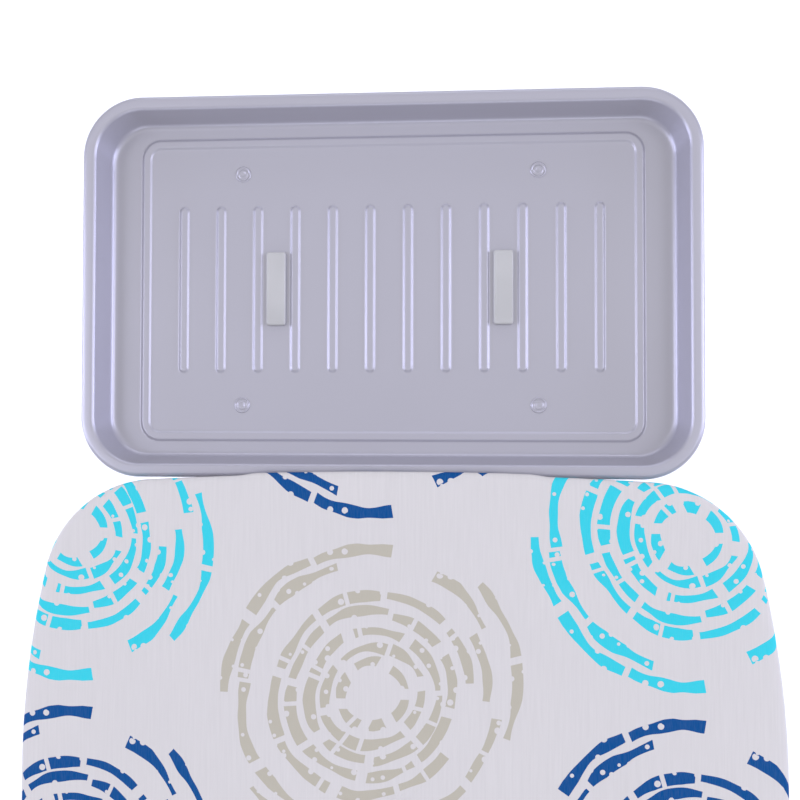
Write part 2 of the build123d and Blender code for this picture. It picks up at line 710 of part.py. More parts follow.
def scissor_nuts():
    nuts = []
    for side in (-1, 1):
        near = side * (INNER_X - LEG_D / 2 - FIT_GAP)
        far = near - side * SCISSOR_NUT_H
        hexagon = extrude(RegularPolygon(SCISSOR_NUT_R, 6), SCISSOR_NUT_H)
        nut = Pos(far, CROSS_Y, CROSS_Z) * Rot(0, side * 90, 0) * hexagon
        nuts.append(nut - rod_x(near, far, CROSS_Y, CROSS_Z, SCISSOR_BOLT_D))
    return nuts


def scissor_spacers():
    spacers = []
    for side in (-1, 1):
        x0 = side * (INNER_X + LEG_D / 2 + FIT_GAP)
        x1 = side * (OUTER_X - LEG_D / 2)
        spacer = rod_x(x0, x1, CROSS_Y, CROSS_Z, SCISSOR_SPACER_D)
        spacers.append(spacer - rod_x(x0, x1, CROSS_Y, CROSS_Z, SCISSOR_BOLT_D))
    return spacers


def slide_bar():
    reach = INNER_X + LEG_D / 2
    return rod_x(-reach, reach, SLIDE_Y, PIVOT_Z, ROD_D)


def slide_glides():
    """Nylon sleeves that run in the slots of the rails, flanged on the inner side."""
    glides = []
    for side in (-1, 1):
        flange_end = side * (RAIL_X - RAIL_T / 2 - GLIDE_GAP)
        near = flange_end - side * GLIDE_FLANGE_T
        far = side * (RAIL_X + RAIL_T / 2 + GLIDE_END)
        sleeve = rod_x(near, far, SLIDE_Y, PIVOT_Z, GLIDE_D)
        flange = rod_x(near, flange_end, SLIDE_Y, PIVOT_Z, GLIDE_FLANGE_D)
        glides.append(sleeve + flange - rod_x(near, far, SLIDE_Y, PIVOT_Z, ROD_D))
    return glides


# ---- height latch ----
def lever_middle():
    """Where the lever lies along the board: it runs across, behind the slide bar."""
    return SLIDE_Y + PAWL_Y


def lever_cheeks():
    """Near faces of the two plates that hold the lever pin."""
    half = LEVER_W / 2
    return lever_middle() - half - 1 - CARRIAGE_T, lever_middle() + half + 1


def latch_carriage():
    """A bent plate that rides on the slide bar and carries the lever pin."""
    top = PIVOT_Z + CARRIAGE_TOP
    under = top - CARRIAGE_T
    y = SLIDE_Y
    lever_y = lever_middle()
    near_cheek, far_cheek = lever_cheeks()
    right = LEVER_PIN_X + CARRIAGE_CHEEK_HALF_W
    window_y0 = lever_y - CARRIAGE_WINDOW_HALF_L
    window_y1 = lever_y + CARRIAGE_WINDOW_HALF_L
    body = block(-CARRIAGE_EAR_X, right, near_cheek, y + CARRIAGE_EAR_R, under, top)
    body -= block(-CARRIAGE_WINDOW_HALF_W, CARRIAGE_WINDOW_HALF_W, window_y0, window_y1, under, top)
    for x in (-CARRIAGE_EAR_X, CARRIAGE_EAR_X - CARRIAGE_T):
        ear_end = y + CARRIAGE_EAR_R
        body += block(x, x + CARRIAGE_T, y - CARRIAGE_EAR_R, ear_end, PIVOT_Z - CARRIAGE_EAR_R, top)
    for cheek_y in (near_cheek, far_cheek):
        left = LEVER_PIN_X - CARRIAGE_CHEEK_HALF_W
        bottom = LEVER_PIN_Z - CARRIAGE_CHEEK_DROP
        body += block(left, right, cheek_y, cheek_y + CARRIAGE_T, bottom, top)
    body -= rod_x(-CARRIAGE_EAR_X, CARRIAGE_EAR_X, y, PIVOT_Z, ROD_D + 2 * CLEARANCE)
    return body - rod_y(LEVER_PIN_X, near_cheek, far_cheek + CARRIAGE_T, LEVER_PIN_Z, PIN_D)


def lever_pivot_pin():
    near_cheek, far_cheek = lever_cheeks()
    y0 = near_cheek - PIN_PAST_NEAR
    y1 = far_cheek + CARRIAGE_T + PIN_PAST_FAR
    return rod_y(LEVER_PIN_X, y0, y1, LEVER_PIN_Z, PIN_D)


def lever_spring():
    """The room that the coil of the return spring takes on the pin, beside the near cheek."""
    near_cheek, _ = lever_cheeks()
    y0 = near_cheek - SPRING_L - SPRING_GAP
    y1 = near_cheek - SPRING_GAP
    spring = rod_y(LEVER_PIN_X, y0, y1, LEVER_PIN_Z, SPRING_D)
    return spring - rod_y(LEVER_PIN_X, y0, y1, LEVER_PIN_Z, SPRING_BORE)


def lever_bar(x0, x1):
    """A flat strip of the lever, between two places across the board."""
    half = LEVER_W / 2
    y = lever_middle()
    return block(x0, x1, y - half, y + half, LEVER_Z - LEVER_T / 2, LEVER_Z + LEVER_T / 2)


def height_lever():
    """A seesaw: the pawl at one end, the hand end at the other."""
    y0 = lever_middle() - LEVER_W / 2
    y1 = lever_middle() + LEVER_W / 2
    pawl_y0 = lever_middle() - PAWL_HALF_T
    pawl_y1 = lever_middle() + PAWL_HALF_T
    pawl_top = MEMBER_BOTTOM - RACK_T - PAWL_DROP
    boss_r = BOSS_D / 2
    lever = lever_bar(-PAWL_HALF_W - 1, LEVER_END_X)
    lever += block(-PAWL_HALF_W, PAWL_HALF_W, pawl_y0, pawl_y1, LEVER_Z, pawl_top)
    lever += rod_y(LEVER_PIN_X, y0, y1, LEVER_PIN_Z, BOSS_D)
    lever += block(LEVER_PIN_X - boss_r, LEVER_PIN_X + boss_r, y0, y1, LEVER_Z, LEVER_PIN_Z)
    return lever - rod_y(LEVER_PIN_X, y0, y1, LEVER_PIN_Z, PIN_D + 2 * CLEARANCE)


def lever_grip():
    """A moulded sleeve over the hand end of the lever."""
    y0 = lever_middle() - GRIP_HALF_W
    y1 = lever_middle() + GRIP_HALF_W
    end = LEVER_END_X + GRIP_END
    sleeve = block(GRIP_START_X, end, y0, y1, LEVER_Z - GRIP_HALF_H, LEVER_Z + GRIP_HALF_H)
    sleeve = fillet(sleeve.edges(), GRIP_EDGE_R)
    return sleeve - lever_bar(GRIP_START_X, LEVER_END_X)


def save(name, shape):
    """Writes one piece, or a group of separate solids, to its own file."""
    if isinstance(shape, list):
        shape = Compound(children=[solid for item in shape for solid in item.solids()])
    export_step(shape, f"parts/{name}.step")


def main():
    os.makedirs("parts", exist_ok=True)
    save("perforated_panel", perforated_panel())
    save("frame_end_tube", frame_end_tube())
    save("frame_side_tube_left", frame_side_tube(-1))
    save("frame_side_tube_right", frame_side_tube(1))
    save("frame_nose_tube", frame_nose_tube())
    for number, from_end in enumerate(CROSS_MEMBERS_FROM_END, start=1):
        save(f"cross_member_{number}", cross_member(from_end))
    save("underlay_felt", underlay_felt())
    save("cover", cover())
    save("cover_elastic", cover_elastic())
    save("iron_tray", iron_tray())
    save("tray_rivets", tray_rivets())
    save("tray_pad_left", tray_pad(-1))
    save("tray_pad_right", tray_pad(1))
    save("tray_arm_left", tray_arm(-1))
    save("tray_arm_right", tray_arm(1))
    save("arm_end_caps", arm_end_caps())
    save("arm_bolts", arm_bolts())
    save("arm_spacers", arm_spacers())
    save("leg_bracket_left", leg_bracket(-1))
    save("leg_bracket_right", leg_bracket(1))
    save("bracket_rivets", bracket_rivets())
    save("pivot_rod", pivot_rod())
    save("pivot_caps", pivot_caps())
    save("guide_rail_left", guide_rail(-1))
    save("guide_rail_right", guide_rail(1))
    save("rack_strip", rack_strip())
    save("rail_rivets", rail_rivets())
    save("outer_leg_left", leg_tube(-OUTER_X, True, SCISSOR_BOLT_D))
    save("outer_leg_right", leg_tube(OUTER_X, True, SCISSOR_BOLT_D))
    save("outer_knuckles", knuckles(True))
    save("outer_foot_bar", foot_bar(OUTER_FOOT_Y))
    save("outer_foot_caps", foot_caps(OUTER_FOOT_Y))
    save("outer_brace", brace(OUTER_X, True, OUTER_BRACE_AT))
    save("scissor_bolts", scissor_bolts())
    save("scissor_nuts", scissor_nuts())
    save("scissor_spacers", scissor_spacers())
    save("inner_leg_left", leg_tube(-INNER_X, False, SCISSOR_BOLT_D + 2 * CLEARANCE))
    save("inner_leg_right", leg_tube(INNER_X, False, SCISSOR_BOLT_D + 2 * CLEARANCE))
    save("inner_knuckles", knuckles(False))
    save("inner_foot_bar", foot_bar(INNER_FOOT_Y))
    save("inner_foot_caps", foot_caps(INNER_FOOT_Y))
    save("inner_brace", brace(INNER_X, False, INNER_BRACE_AT))
    save("slide_bar", slide_bar())
    save("slide_glides", slide_glides())
    save("latch_carriage", latch_carriage())
    save("lever_pivot_pin", lever_pivot_pin())
    save("lever_spring", lever_spring())
    save("height_lever", height_lever())
    save("lever_grip", lever_grip())


main()
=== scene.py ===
import json
import math
import random

import bmesh
import bpy
import numpy as np
from mathutils import Euler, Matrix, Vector, noise


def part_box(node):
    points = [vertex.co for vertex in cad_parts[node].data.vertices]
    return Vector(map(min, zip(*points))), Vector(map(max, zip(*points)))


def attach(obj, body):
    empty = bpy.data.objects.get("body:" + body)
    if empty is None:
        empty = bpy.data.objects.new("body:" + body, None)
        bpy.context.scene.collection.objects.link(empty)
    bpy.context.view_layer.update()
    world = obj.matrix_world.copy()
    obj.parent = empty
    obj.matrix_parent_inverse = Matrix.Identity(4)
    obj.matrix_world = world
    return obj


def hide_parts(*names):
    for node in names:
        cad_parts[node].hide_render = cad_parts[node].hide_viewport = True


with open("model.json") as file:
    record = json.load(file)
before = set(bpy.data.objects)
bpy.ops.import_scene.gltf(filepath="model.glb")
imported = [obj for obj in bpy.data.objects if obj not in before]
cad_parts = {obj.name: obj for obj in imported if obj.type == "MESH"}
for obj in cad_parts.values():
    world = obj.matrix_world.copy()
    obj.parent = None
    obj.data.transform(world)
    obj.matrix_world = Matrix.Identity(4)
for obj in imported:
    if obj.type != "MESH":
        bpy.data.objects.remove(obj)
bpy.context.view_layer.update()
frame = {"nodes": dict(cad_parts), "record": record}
NODES = frame["nodes"]
MM = 0.001

# ---- outline of the board, as arcs from the middle of the wide end to the nose ----
END_BOW_R = 2600 * MM
END_BOW_DEG = 3.2
CORNER_R = 68 * MM
CORNER_DEG = 74.0
TAPER_R = 2000 * MM
TAPER_DEG = 16.0
SHOULDER_R = 600 * MM
SHOULDER_DEG = 20.0
ARC_STEPS = 400

COVER_LOW, COVER_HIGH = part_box("cover")
HALF_WIDTH = (COVER_HIGH.x - COVER_LOW.x) / 2
BOARD_LENGTH = COVER_HIGH.y - COVER_LOW.y
TOP = COVER_HIGH.z
HEM_Z = COVER_LOW.z
FELT_LOW, FELT_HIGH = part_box("underlay_felt")

# ---- cover and felt ----
CLOTH_T = 0.6 * MM
HEM_RADIUS = 1.35 * MM
HEM_RISE = 0.15 * MM
HEM_SIDES = 10
EDGE_POINTS = 720
FELT_EDGE_POINTS = 300
FELT_INSET_MM = 1.3
FELT_SETTLE_MM = 0.75
GATHER = (0.35, 1.3)
BROAD_SHARE = 0.35
SAG = 0.35 * MM
END_LIFT = 1.2 * MM
END_LIFT_X = -2 * MM
END_LIFT_HALF = 92 * MM
END_LIFT_RUN = 14 * MM
END_LIFT_FROM_END = 20 * MM
EDGE_INSET_MM = 13.0
TOP_RINGS = 5
ARM_GAP_REACH = 14 * MM
ARM_GAP_DEPTH = 0.85
ARM_GAP_FROM_END = 60 * MM
MIDLINE_LOW = COVER_LOW.y + 130 * MM
MIDLINE_HIGH = COVER_HIGH.y - 190 * MM
MIDLINE_SHARES = (0.1, 0.2, 0.3, 0.42, 0.54, 0.66, 0.78, 0.9, 1.0)

# ---- iron rest ----
TRAY_LOW, TRAY_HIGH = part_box("iron_tray")
TRAY_MID = (TRAY_LOW + TRAY_HIGH) / 2
SHEET_T = 1.0 * MM
FLOOR_Z = TRAY_LOW.z + SHEET_T
RIM_WIDTH = 8 * MM
WALL_RUN = 4.5 * MM
RIM_CORNER_R = 36 * MM
BEAD_HALF = (154.3 * MM, 93.8 * MM)
BEAD_CORNER_R = 12.3 * MM
RIB_COUNT = 12
RIB_PITCH = 23.1 * MM
RIB_HALF_LENGTH = 51.8 * MM
RIB_HALF_WIDTH = 3.5 * MM
RIB_RISE = 1.0 * MM
RIB_FLANK = 2.0 * MM
RIB_LINES_MM = (0.8, 1.5, 1.85, 2.2, 2.5, 2.8, 3.15, 3.5, 4.4)
RIB_END_LINES_MM = (-2.5, -1.2, 0.0)
BEAD_MARGIN = 14 * MM
BEAD_SIDES_MM = (-4.8, 4.4)
FOOT_GAP = 5.4 * MM
FOOT_R = 4.2 * MM
LIP_R = 2.6 * MM
EDGE_R = 3.0 * MM
EDGE_DROPS = (5 * MM, 7 * MM)
BEND_STEPS = 8
LEAST_CORNER_R = 0.5 * MM
CLINCH_R = 5.0 * MM
CLINCH_POINTS = 48
PAD_CORNER_R_MM = 1.6

# ---- rubber, grip and spring ----
SLEEVE_LENGTH = 37 * MM
SLEEVE_AXIS_Z = 15 * MM
SLEEVE_R_MM = 16.5
SLEEVE_POINTS = 64
GROOVE_COUNT = 4
GROOVE_START_MM = 7.0
GROOVE_PITCH_MM = 5.0
GROOVE_DEPTH_MM = 0.8
GRIP_STATIONS = 64
GRIP_POINTS = 40
GRIP_END = 5 * MM
GRIP_GROOVES = 4
GRIP_GROOVE_DEPTH = 0.22
GRIP_SQUARENESS = 0.6
SPRING_WIRE_R = 0.6 * MM
SPRING_TURNS = 5
SPRING_STEPS = 40
WIRE_SIDES = 10

# ---- camera, as seen from over the iron rest ----
CAMERA_FROM_TRAY = Vector((44.6 * MM, -80.4 * MM, 534.2 * MM))
CAMERA_TILT = (1.253, 3.835, 0.096)
LENS_MM = 41.85
SENSOR_MM = 36.0
CLIP_START = 10 * MM

# ---- floor and lights ----
FLOOR_REACH = 6.0
WORLD_STRENGTH = 0.52
AIM_NEARER = 0.1
WARM = (1.0, 1.0, 0.97)
COOL = (0.74, 0.76, 1.0)
LOW_COOL = (0.66, 0.69, 1.0)
END_COOL = (0.80, 0.82, 1.0)
SIDE_SIZE = (1.6, 1.6)
LOW_SIZE = (1.3, 1.0)
END_SIZE = (2.6, 1.0)

# ---- print on the cover ----
MOTIF_ORIGIN = (-12 * MM, 358 * MM)
COLUMN_STEP = 179 * MM
ROW_STEP = 198 * MM
INNER_RING_R = 13.5 * MM
RING_STEP = 9.6 * MM
RING_COUNT = 8
SWAY = 0.055
SWAY_PHASE = 0.9
OVAL = 0.03
OVAL_PHASE = 1.3
RIPPLE = 9 * MM
RIPPLE_SCALE = 17.0
INNER_DASHES = 6.0
MORE_DASHES_PER_RING = 0.75
TURN_PER_RING = 0.137
GAP_MM = (2.2, 8.0)
SLIT_HALF_MM = 1.2
SLIT_PLACE = (0.3, 1.5)
DASH_SHIFT = 0.13
STROKE_HALF = (0.12, 0.37)
SWELL_SCALE = 34.0
SWELL_OFFSET = 7.0
GAP_SEED = 80.0
SLIT_SEED = 40.0
SHIFT_SEED = 20.0
MISSING = 0.1
SPARSE_RING = 5
SPARSE_MISSING = 0.45
OUTER_MISSING = 0.12
BITE_SCALE = 125.0
BITE_SHARE = 0.58
BITE_REACH = (0.10, 0.24)
TAUPE = (0.435, 0.405, 0.325, 1)
BLUE = (0.0, 0.063, 0.22, 1)
CYAN = (0.035, 0.535, 0.61, 1)
CLOTH = (0.588, 0.565, 0.542, 1)
PATCH = (0.552, 0.532, 0.515, 1)
LIGHT_YARN = tuple(1.018 * value for value in CLOTH[:3]) + (1,)
DARK_YARN = tuple(0.96 * value for value in CLOTH[:3]) + (1,)
WEAVE_PITCH = (0.55 * MM, 0.7 * MM)


# ======== small helpers for node materials ========
class Graph:
    """A material's node tree, with one method for each kind of node that the materials use."""

    def __init__(self, name):
        self.material = bpy.data.materials.new(name)
        self.material.use_nodes = True
        self.nodes = self.material.node_tree.nodes
        self.links = self.material.node_tree.links
        self.shader = self.nodes["Principled BSDF"]

    def put(self, socket, value):
        if hasattr(value, "is_linked"):
            self.links.new(value, socket)
        else:
            socket.default_value = value

    def math(self, operation, *values):
        node = self.nodes.new("ShaderNodeMath")
        node.operation = operation
        for index, value in enumerate(values):
            self.put(node.inputs[index], value)
        return node.outputs[0]

    def object_point(self):
        return self.nodes.new("ShaderNodeTexCoord").outputs["Object"]

    def flat_point(self):
        node = self.nodes.new("ShaderNodeUVMap")
        node.uv_map = "flat"
        return node.outputs["UV"]

    def split(self, vector):
        node = self.nodes.new("ShaderNodeSeparateXYZ")
        self.put(node.inputs[0], vector)
        return node.outputs

    def join(self, x, y, z=0.0):
        node = self.nodes.new("ShaderNodeCombineXYZ")
        for socket, value in zip(node.inputs, (x, y, z)):
            self.put(socket, value)
        return node.outputs[0]

    def stretch(self, vector, scale):
        node = self.nodes.new("ShaderNodeMapping")
        self.put(node.inputs["Vector"], vector)
        node.inputs["Scale"].default_value = scale
        return node.outputs[0]

    def noise(self, vector, scale, detail=2.0, roughness=0.5):
        node = self.nodes.new("ShaderNodeTexNoise")
        self.put(node.inputs["Vector"], vector)
        node.inputs["Scale"].default_value = scale
        node.inputs["Detail"].default_value = detail
        node.inputs["Roughness"].default_value = roughness
        return node.outputs["Fac"]

    def random(self, x, y):
        node = self.nodes.new("ShaderNodeTexWhiteNoise")
        node.noise_dimensions = "2D"
        self.put(node.inputs["Vector"], self.join(x, y))
        return node.outputs["Value"]

    def cells(self, vector, scale):
        node = self.nodes.new("ShaderNodeTexVoronoi")
        node.voronoi_dimensions = "2D"
        self.put(node.inputs["Vector"], vector)
        node.inputs["Scale"].default_value = scale
        return node.outputs["Distance"], node.outputs["Color"]

    def spread(self, value, low, high, start=0.0, end=1.0):
        node = self.nodes.new("ShaderNodeMapRange")
        self.put(node.inputs["Value"], value)
        for name, number in zip(("From Min", "From Max", "To Min", "To Max"), (start, end, low, high)):
            node.inputs[name].default_value = number
        return node.outputs[0]

    def mix(self, factor, a, b):
        node = self.nodes.new("ShaderNodeMix")
        node.data_type = "RGBA"
        self.put(node.inputs["Factor"], factor)
        self.put(node.inputs["A"], a)
        self.put(node.inputs["B"], b)
        return node.outputs["Result"]

    def steps(self, value, colours):
        """A ramp of equal flat bands."""
        node = self.nodes.new("ShaderNodeValToRGB")
        node.color_ramp.interpolation = "CONSTANT"
        while len(node.color_ramp.elements) < len(colours):
            node.color_ramp.elements.new(0.5)
        for index, (element, colour) in enumerate(zip(node.color_ramp.elements, colours)):
            element.position = index / len(colours)
            element.color = colour
        self.put(node.inputs[0], value)
        return node.outputs["Color"]

    def bump(self, height, distance, strength=1.0):
        node = self.nodes.new("ShaderNodeBump")
        node.inputs["Strength"].default_value = strength
        node.inputs["Distance"].default_value = distance
        self.put(node.inputs["Height"], height)
        self.put(self.shader.inputs["Normal"], node.outputs[0])

    def set(self, **values):
        for name, value in values.items():
            self.put(self.shader.inputs[name.replace("_", " ")], value)
        return self.material


# ======== materials ========
def motif_lattice(g, point):
    """Local x and y in the nearest motif of a half-drop repeat, and its place in the colour cycle."""
    x, y, _ = g.split(point)
    column_at = g.math("DIVIDE", g.math("SUBTRACT", x, MOTIF_ORIGIN[0]), COLUMN_STEP)
    column = g.math("ROUND", column_at)
    odd = g.math("FLOORED_MODULO", column, 2.0)
    row_at = g.math("DIVIDE", g.math("SUBTRACT", y, MOTIF_ORIGIN[1]), ROW_STEP)
    row_at = g.math("SUBTRACT", row_at, g.math("MULTIPLY", odd, 0.5))
    row = g.math("ROUND", row_at)
    local_x = g.math("MULTIPLY", g.math("SUBTRACT", column_at, column), COLUMN_STEP)
    local_y = g.math("MULTIPLY", g.math("SUBTRACT", row_at, row), ROW_STEP)
    flip = g.math("FLOORED_MODULO", g.math("ADD", row, odd), 2.0)
    turned_y = g.math("MULTIPLY", local_y, g.math("MULTIPLY_ADD", flip, -2.0, 1.0))
    cycle = g.math("FLOORED_MODULO", g.math("MULTIPLY_ADD", odd, 2.0, row), 3.0)
    return local_x, turned_y, g.math("DIVIDE", g.math("ADD", cycle, 0.5), 3.0)


def wobbly_radius(g, x, y, angle):
    """Distance from the middle of a motif, swayed and rippled so that its rings look drawn by hand."""
    radius = g.math("SQRT", g.math("ADD", g.math("MULTIPLY", x, x), g.math("MULTIPLY", y, y)))
    sway = g.math("MULTIPLY", g.math("COSINE", g.math("ADD", angle, SWAY_PHASE)), SWAY)
    oval = g.math("MULTIPLY", g.math("COSINE", g.math("MULTIPLY_ADD", angle, 2.0, OVAL_PHASE)), OVAL)
    shape = g.math("ADD", 1.0, g.math("ADD", sway, oval))
    ripple = g.math("SUBTRACT", g.noise(g.join(x, y), RIPPLE_SCALE, 1.0), 0.5)
    return g.math("MULTIPLY_ADD", ripple, RIPPLE, g.math("MULTIPLY", radius, shape))


def round_bites(g, point):
    """0 inside small round holes scattered over the strokes."""
    distance, colour = g.cells(point, BITE_SCALE)
    chance, size, _ = g.split(colour)
    bitten = g.math("GREATER_THAN", chance, 1.0 - BITE_SHARE)
    return g.math("GREATER_THAN", distance, g.math("MULTIPLY", bitten, g.spread(size, *BITE_REACH)))


def dashes_of_ring(g, angle, radius, ring):
    """The dash at each angle of a ring, and 0 in gaps, in slits and where a dash is left out."""
    dashes = g.math("FLOOR", g.math("MULTIPLY_ADD", ring, MORE_DASHES_PER_RING, INNER_DASHES))
    turn = g.math("MULTIPLY_ADD", ring, TURN_PER_RING, g.math("DIVIDE", angle, 2 * math.pi))
    dash_at = g.math("MULTIPLY", g.math("FRACT", g.math("ADD", turn, 1.0)), dashes)
    dash = g.math("FLOOR", dash_at)
    along = g.math("SUBTRACT", dash_at, dash)
    per_mm = g.math("DIVIDE", g.math("MULTIPLY", dashes, MM / (2 * math.pi)), radius)
    gap = g.math("MULTIPLY", g.spread(g.random(dash, g.math("ADD", ring, GAP_SEED)), *GAP_MM), per_mm)
    past_gap = g.math("GREATER_THAN", along, gap)
    slit_at = g.spread(g.random(dash, g.math("ADD", ring, SLIT_SEED)), *SLIT_PLACE)
    from_slit = g.math("ABSOLUTE", g.math("SUBTRACT", along, slit_at))
    past_slit = g.math("GREATER_THAN", from_slit, g.math("MULTIPLY", per_mm, SLIT_HALF_MM))
    sparse = g.math("MULTIPLY", g.math("COMPARE", ring, float(SPARSE_RING), 0.5), SPARSE_MISSING)
    outer = g.math("MULTIPLY", g.math("GREATER_THAN", ring, SPARSE_RING + 0.5), OUTER_MISSING)
    missing = g.math("ADD", MISSING, g.math("ADD", sparse, outer))
    present = g.math("GREATER_THAN", g.random(dash, ring), missing)
    return dash, g.math("MULTIPLY", present, g.math("MULTIPLY", past_gap, past_slit))


def stroke_of_dash(g, x, y, ring, dash, across):
    """1 on a stroke whose width swells along it, and which lies a little in or out of its ring."""
    shift = g.spread(g.random(dash, g.math("ADD", ring, SHIFT_SEED)), -DASH_SHIFT, DASH_SHIFT)
    from_middle = g.math("ABSOLUTE", g.math("SUBTRACT", g.math("SUBTRACT", across, 0.5), shift))
    offset = g.math("MULTIPLY", ring, SWELL_OFFSET)
    swell = g.noise(g.join(g.math("ADD", x, offset), g.math("ADD", y, offset)), SWELL_SCALE, 1.0)
    return g.math("LESS_THAN", from_middle, g.spread(swell, *STROKE_HALF, 0.3, 0.6))


def broken_rings(g, x, y):
    """1 on the strokes of a set of wobbly rings, cut into dashes with round bites taken out of them."""
    angle = g.math("ARCTAN2", y, x)
    radius = wobbly_radius(g, x, y, angle)
    ring_at = g.math("DIVIDE", g.math("SUBTRACT", radius, INNER_RING_R), RING_STEP)
    ring = g.math("FLOOR", ring_at)
    across = g.math("SUBTRACT", ring_at, ring)
    inside = g.math("GREATER_THAN", ring_at, 0.0)
    outside = g.math("LESS_THAN", ring_at, float(RING_COUNT))
    dash, mask = dashes_of_ring(g, angle, radius, ring)
    stroke = stroke_of_dash(g, x, y, ring, dash, across)
    for part in (inside, outside, stroke, round_bites(g, g.join(x, y))):
        mask = g.math("MULTIPLY", mask, part)
    return mask


def cover_fabric():
    """Woven cotton with slubs along the board, printed with broken rings."""
    g = Graph("cover_fabric")
    point = g.flat_point()
    slub = g.noise(g.stretch(point, (900.0, 30.0, 1.0)), 1.0, 3.0, 0.6)
    fine = g.noise(g.stretch(point, (1500.0, 160.0, 1.0)), 1.0, 2.0)
    patch = g.noise(point, 11.0, 2.0)
    yarn = g.mix(g.spread(slub, 0.0, 1.0, 0.3, 0.72), DARK_YARN, LIGHT_YARN)
    cloth = g.mix(g.spread(patch, 0.0, 0.22, 0.35, 0.7), yarn, PATCH)
    local_x, local_y, cycle = motif_lattice(g, point)
    ink = g.steps(cycle, (TAUPE, BLUE, CYAN))
    worn = g.mix(g.spread(fine, 0.0, 0.03, 0.35, 0.7), ink, CLOTH)
    mask = broken_rings(g, local_x, local_y)
    across, along, _ = g.split(point)
    weave_x = g.math("SINE", g.math("MULTIPLY", across, 2 * math.pi / WEAVE_PITCH[0]))
    weave_y = g.math("SINE", g.math("MULTIPLY", along, 2 * math.pi / WEAVE_PITCH[1]))
    weave = g.math("MULTIPLY_ADD", g.math("MULTIPLY", weave_x, weave_y), 0.25, slub)
    g.bump(weave, 0.12 * MM, 0.5)
    return g.set(
        Base_Color=g.mix(mask, cloth, worn),
        Roughness=g.spread(fine, 0.78, 0.9),
        Specular_IOR_Level=0.1,
        Sheen_Weight=0.03,
        Sheen_Roughness=0.3,
    )


def felt():
    """Matted fibres: fine tufts over a slow change of tone."""
    g = Graph("felt")
    point = g.object_point()
    tuft = g.noise(point, 900.0, 4.0, 0.7)
    cloud = g.noise(point, 26.0, 3.0)
    tone = g.math("MULTIPLY_ADD", cloud, 0.5, g.math("MULTIPLY", tuft, 0.5))
    g.bump(tuft, 0.5 * MM, 0.7)
    return g.set(
        Base_Color=g.mix(tone, (0.60, 0.58, 0.54, 1), (0.84, 0.83, 0.79, 1)),
        Roughness=0.95,
        Sheen_Weight=0.4,
    )


def lacquer(name, dark, light, metallic, roughness, flake):
    """Sprayed lacquer over pressed or bent steel: small flakes, and a slow change of tone and gloss."""
    g = Graph(name)
    point = g.object_point()
    cloud = g.noise(point, 14.0, 3.0)
    grain = g.noise(point, flake, 2.0, 0.6)
    tone = g.math("MULTIPLY_ADD", grain, 0.45, g.math("MULTIPLY", cloud, 0.55))
    g.bump(grain, 0.03 * MM, 0.25)
    return g.set(
        Base_Color=g.mix(tone, dark, light),
        Metallic=metallic,
        Roughness=g.spread(cloud, *roughness),
    )


def zinc():
    """Zinc-plated steel, with spangle and faint scuffs."""
    g = Graph("zinc")
    point = g.object_point()
    spangle = g.noise(point, 420.0, 3.0, 0.65)
    scuff = g.noise(g.stretch(point, (60.0, 900.0, 900.0)), 1.0, 2.0)
    g.bump(scuff, 0.02 * MM, 0.4)
    return g.set(
        Base_Color=g.mix(spangle, (0.50, 0.51, 0.53, 1), (0.74, 0.74, 0.75, 1)),
        Metallic=1.0,
        Roughness=g.spread(scuff, 0.26, 0.46),
    )


def moulded(name, dark, light, roughness, grain_scale, depth):
    """Moulded plastic or rubber with a fine spark-eroded grain."""
    g = Graph(name)
    point = g.object_point()
    grain = g.noise(point, grain_scale, 3.0, 0.6)
    cloud = g.noise(point, 30.0, 2.0)
    g.bump(grain, depth, 0.5)
    return g.set(
        Base_Color=g.mix(g.spread(cloud, 0.0, 1.0, 0.3, 0.7), dark, light),
        Roughness=g.spread(grain, *roughness),
    )


MATERIALS = {
    "cover_fabric": cover_fabric(),
    "felt": felt(),
    "tray_lacquer": lacquer(
        "tray_lacquer",
        dark=(0.392, 0.382, 0.425, 1),
        light=(0.417, 0.406, 0.451, 1),
        metallic=0.3,
        roughness=(0.27, 0.33),
        flake=2600.0,
    ),
    "frame_paint": lacquer(
        "frame_paint",
        dark=(0.47, 0.465, 0.52, 1),
        light=(0.54, 0.535, 0.58, 1),
        metallic=0.25,
        roughness=(0.34, 0.46),
        flake=1500.0,
    ),
    "zinc": zinc(),
    "silicone": moulded(
        "silicone",
        dark=(0.415, 0.41, 0.402, 1),
        light=(0.46, 0.455, 0.445, 1),
        roughness=(0.32, 0.5),
        grain_scale=700.0,
        depth=0.03 * MM,
    ),
    "foot_rubber": moulded(
        "foot_rubber",
        dark=(0.025, 0.025, 0.03, 1),
        light=(0.045, 0.045, 0.05, 1),
        roughness=(0.62, 0.8),
        grain_scale=1400.0,
        depth=0.12 * MM,
    ),
    "nylon": moulded(
        "nylon",
        dark=(0.68, 0.67, 0.63, 1),
        light=(0.78, 0.77, 0.73, 1),
        roughness=(0.38, 0.5),
        grain_scale=900.0,
        depth=0.04 * MM,
    ),
    "moulding": moulded(
        "moulding",
        dark=(0.05, 0.052, 0.06, 1),
        light=(0.08, 0.082, 0.092, 1),
        roughness=(0.42, 0.6),
        grain_scale=1800.0,
        depth=0.08 * MM,
    ),
}


# ======== mesh helpers ========
def new_piece(name, points, faces, slot, body):
    """A smooth-shaded piece on its material slot, which moves with its body."""
    mesh = bpy.data.meshes.new(name)
    mesh.from_pydata([tuple(point) for point in points], [], faces)
    mesh.validate()
    for polygon in mesh.polygons:
        polygon.use_smooth = True
    piece = bpy.data.objects.new(name, mesh)
    bpy.context.scene.collection.objects.link(piece)
    mesh.materials.append(MATERIALS[slot])
    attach(piece, body)
    return piece


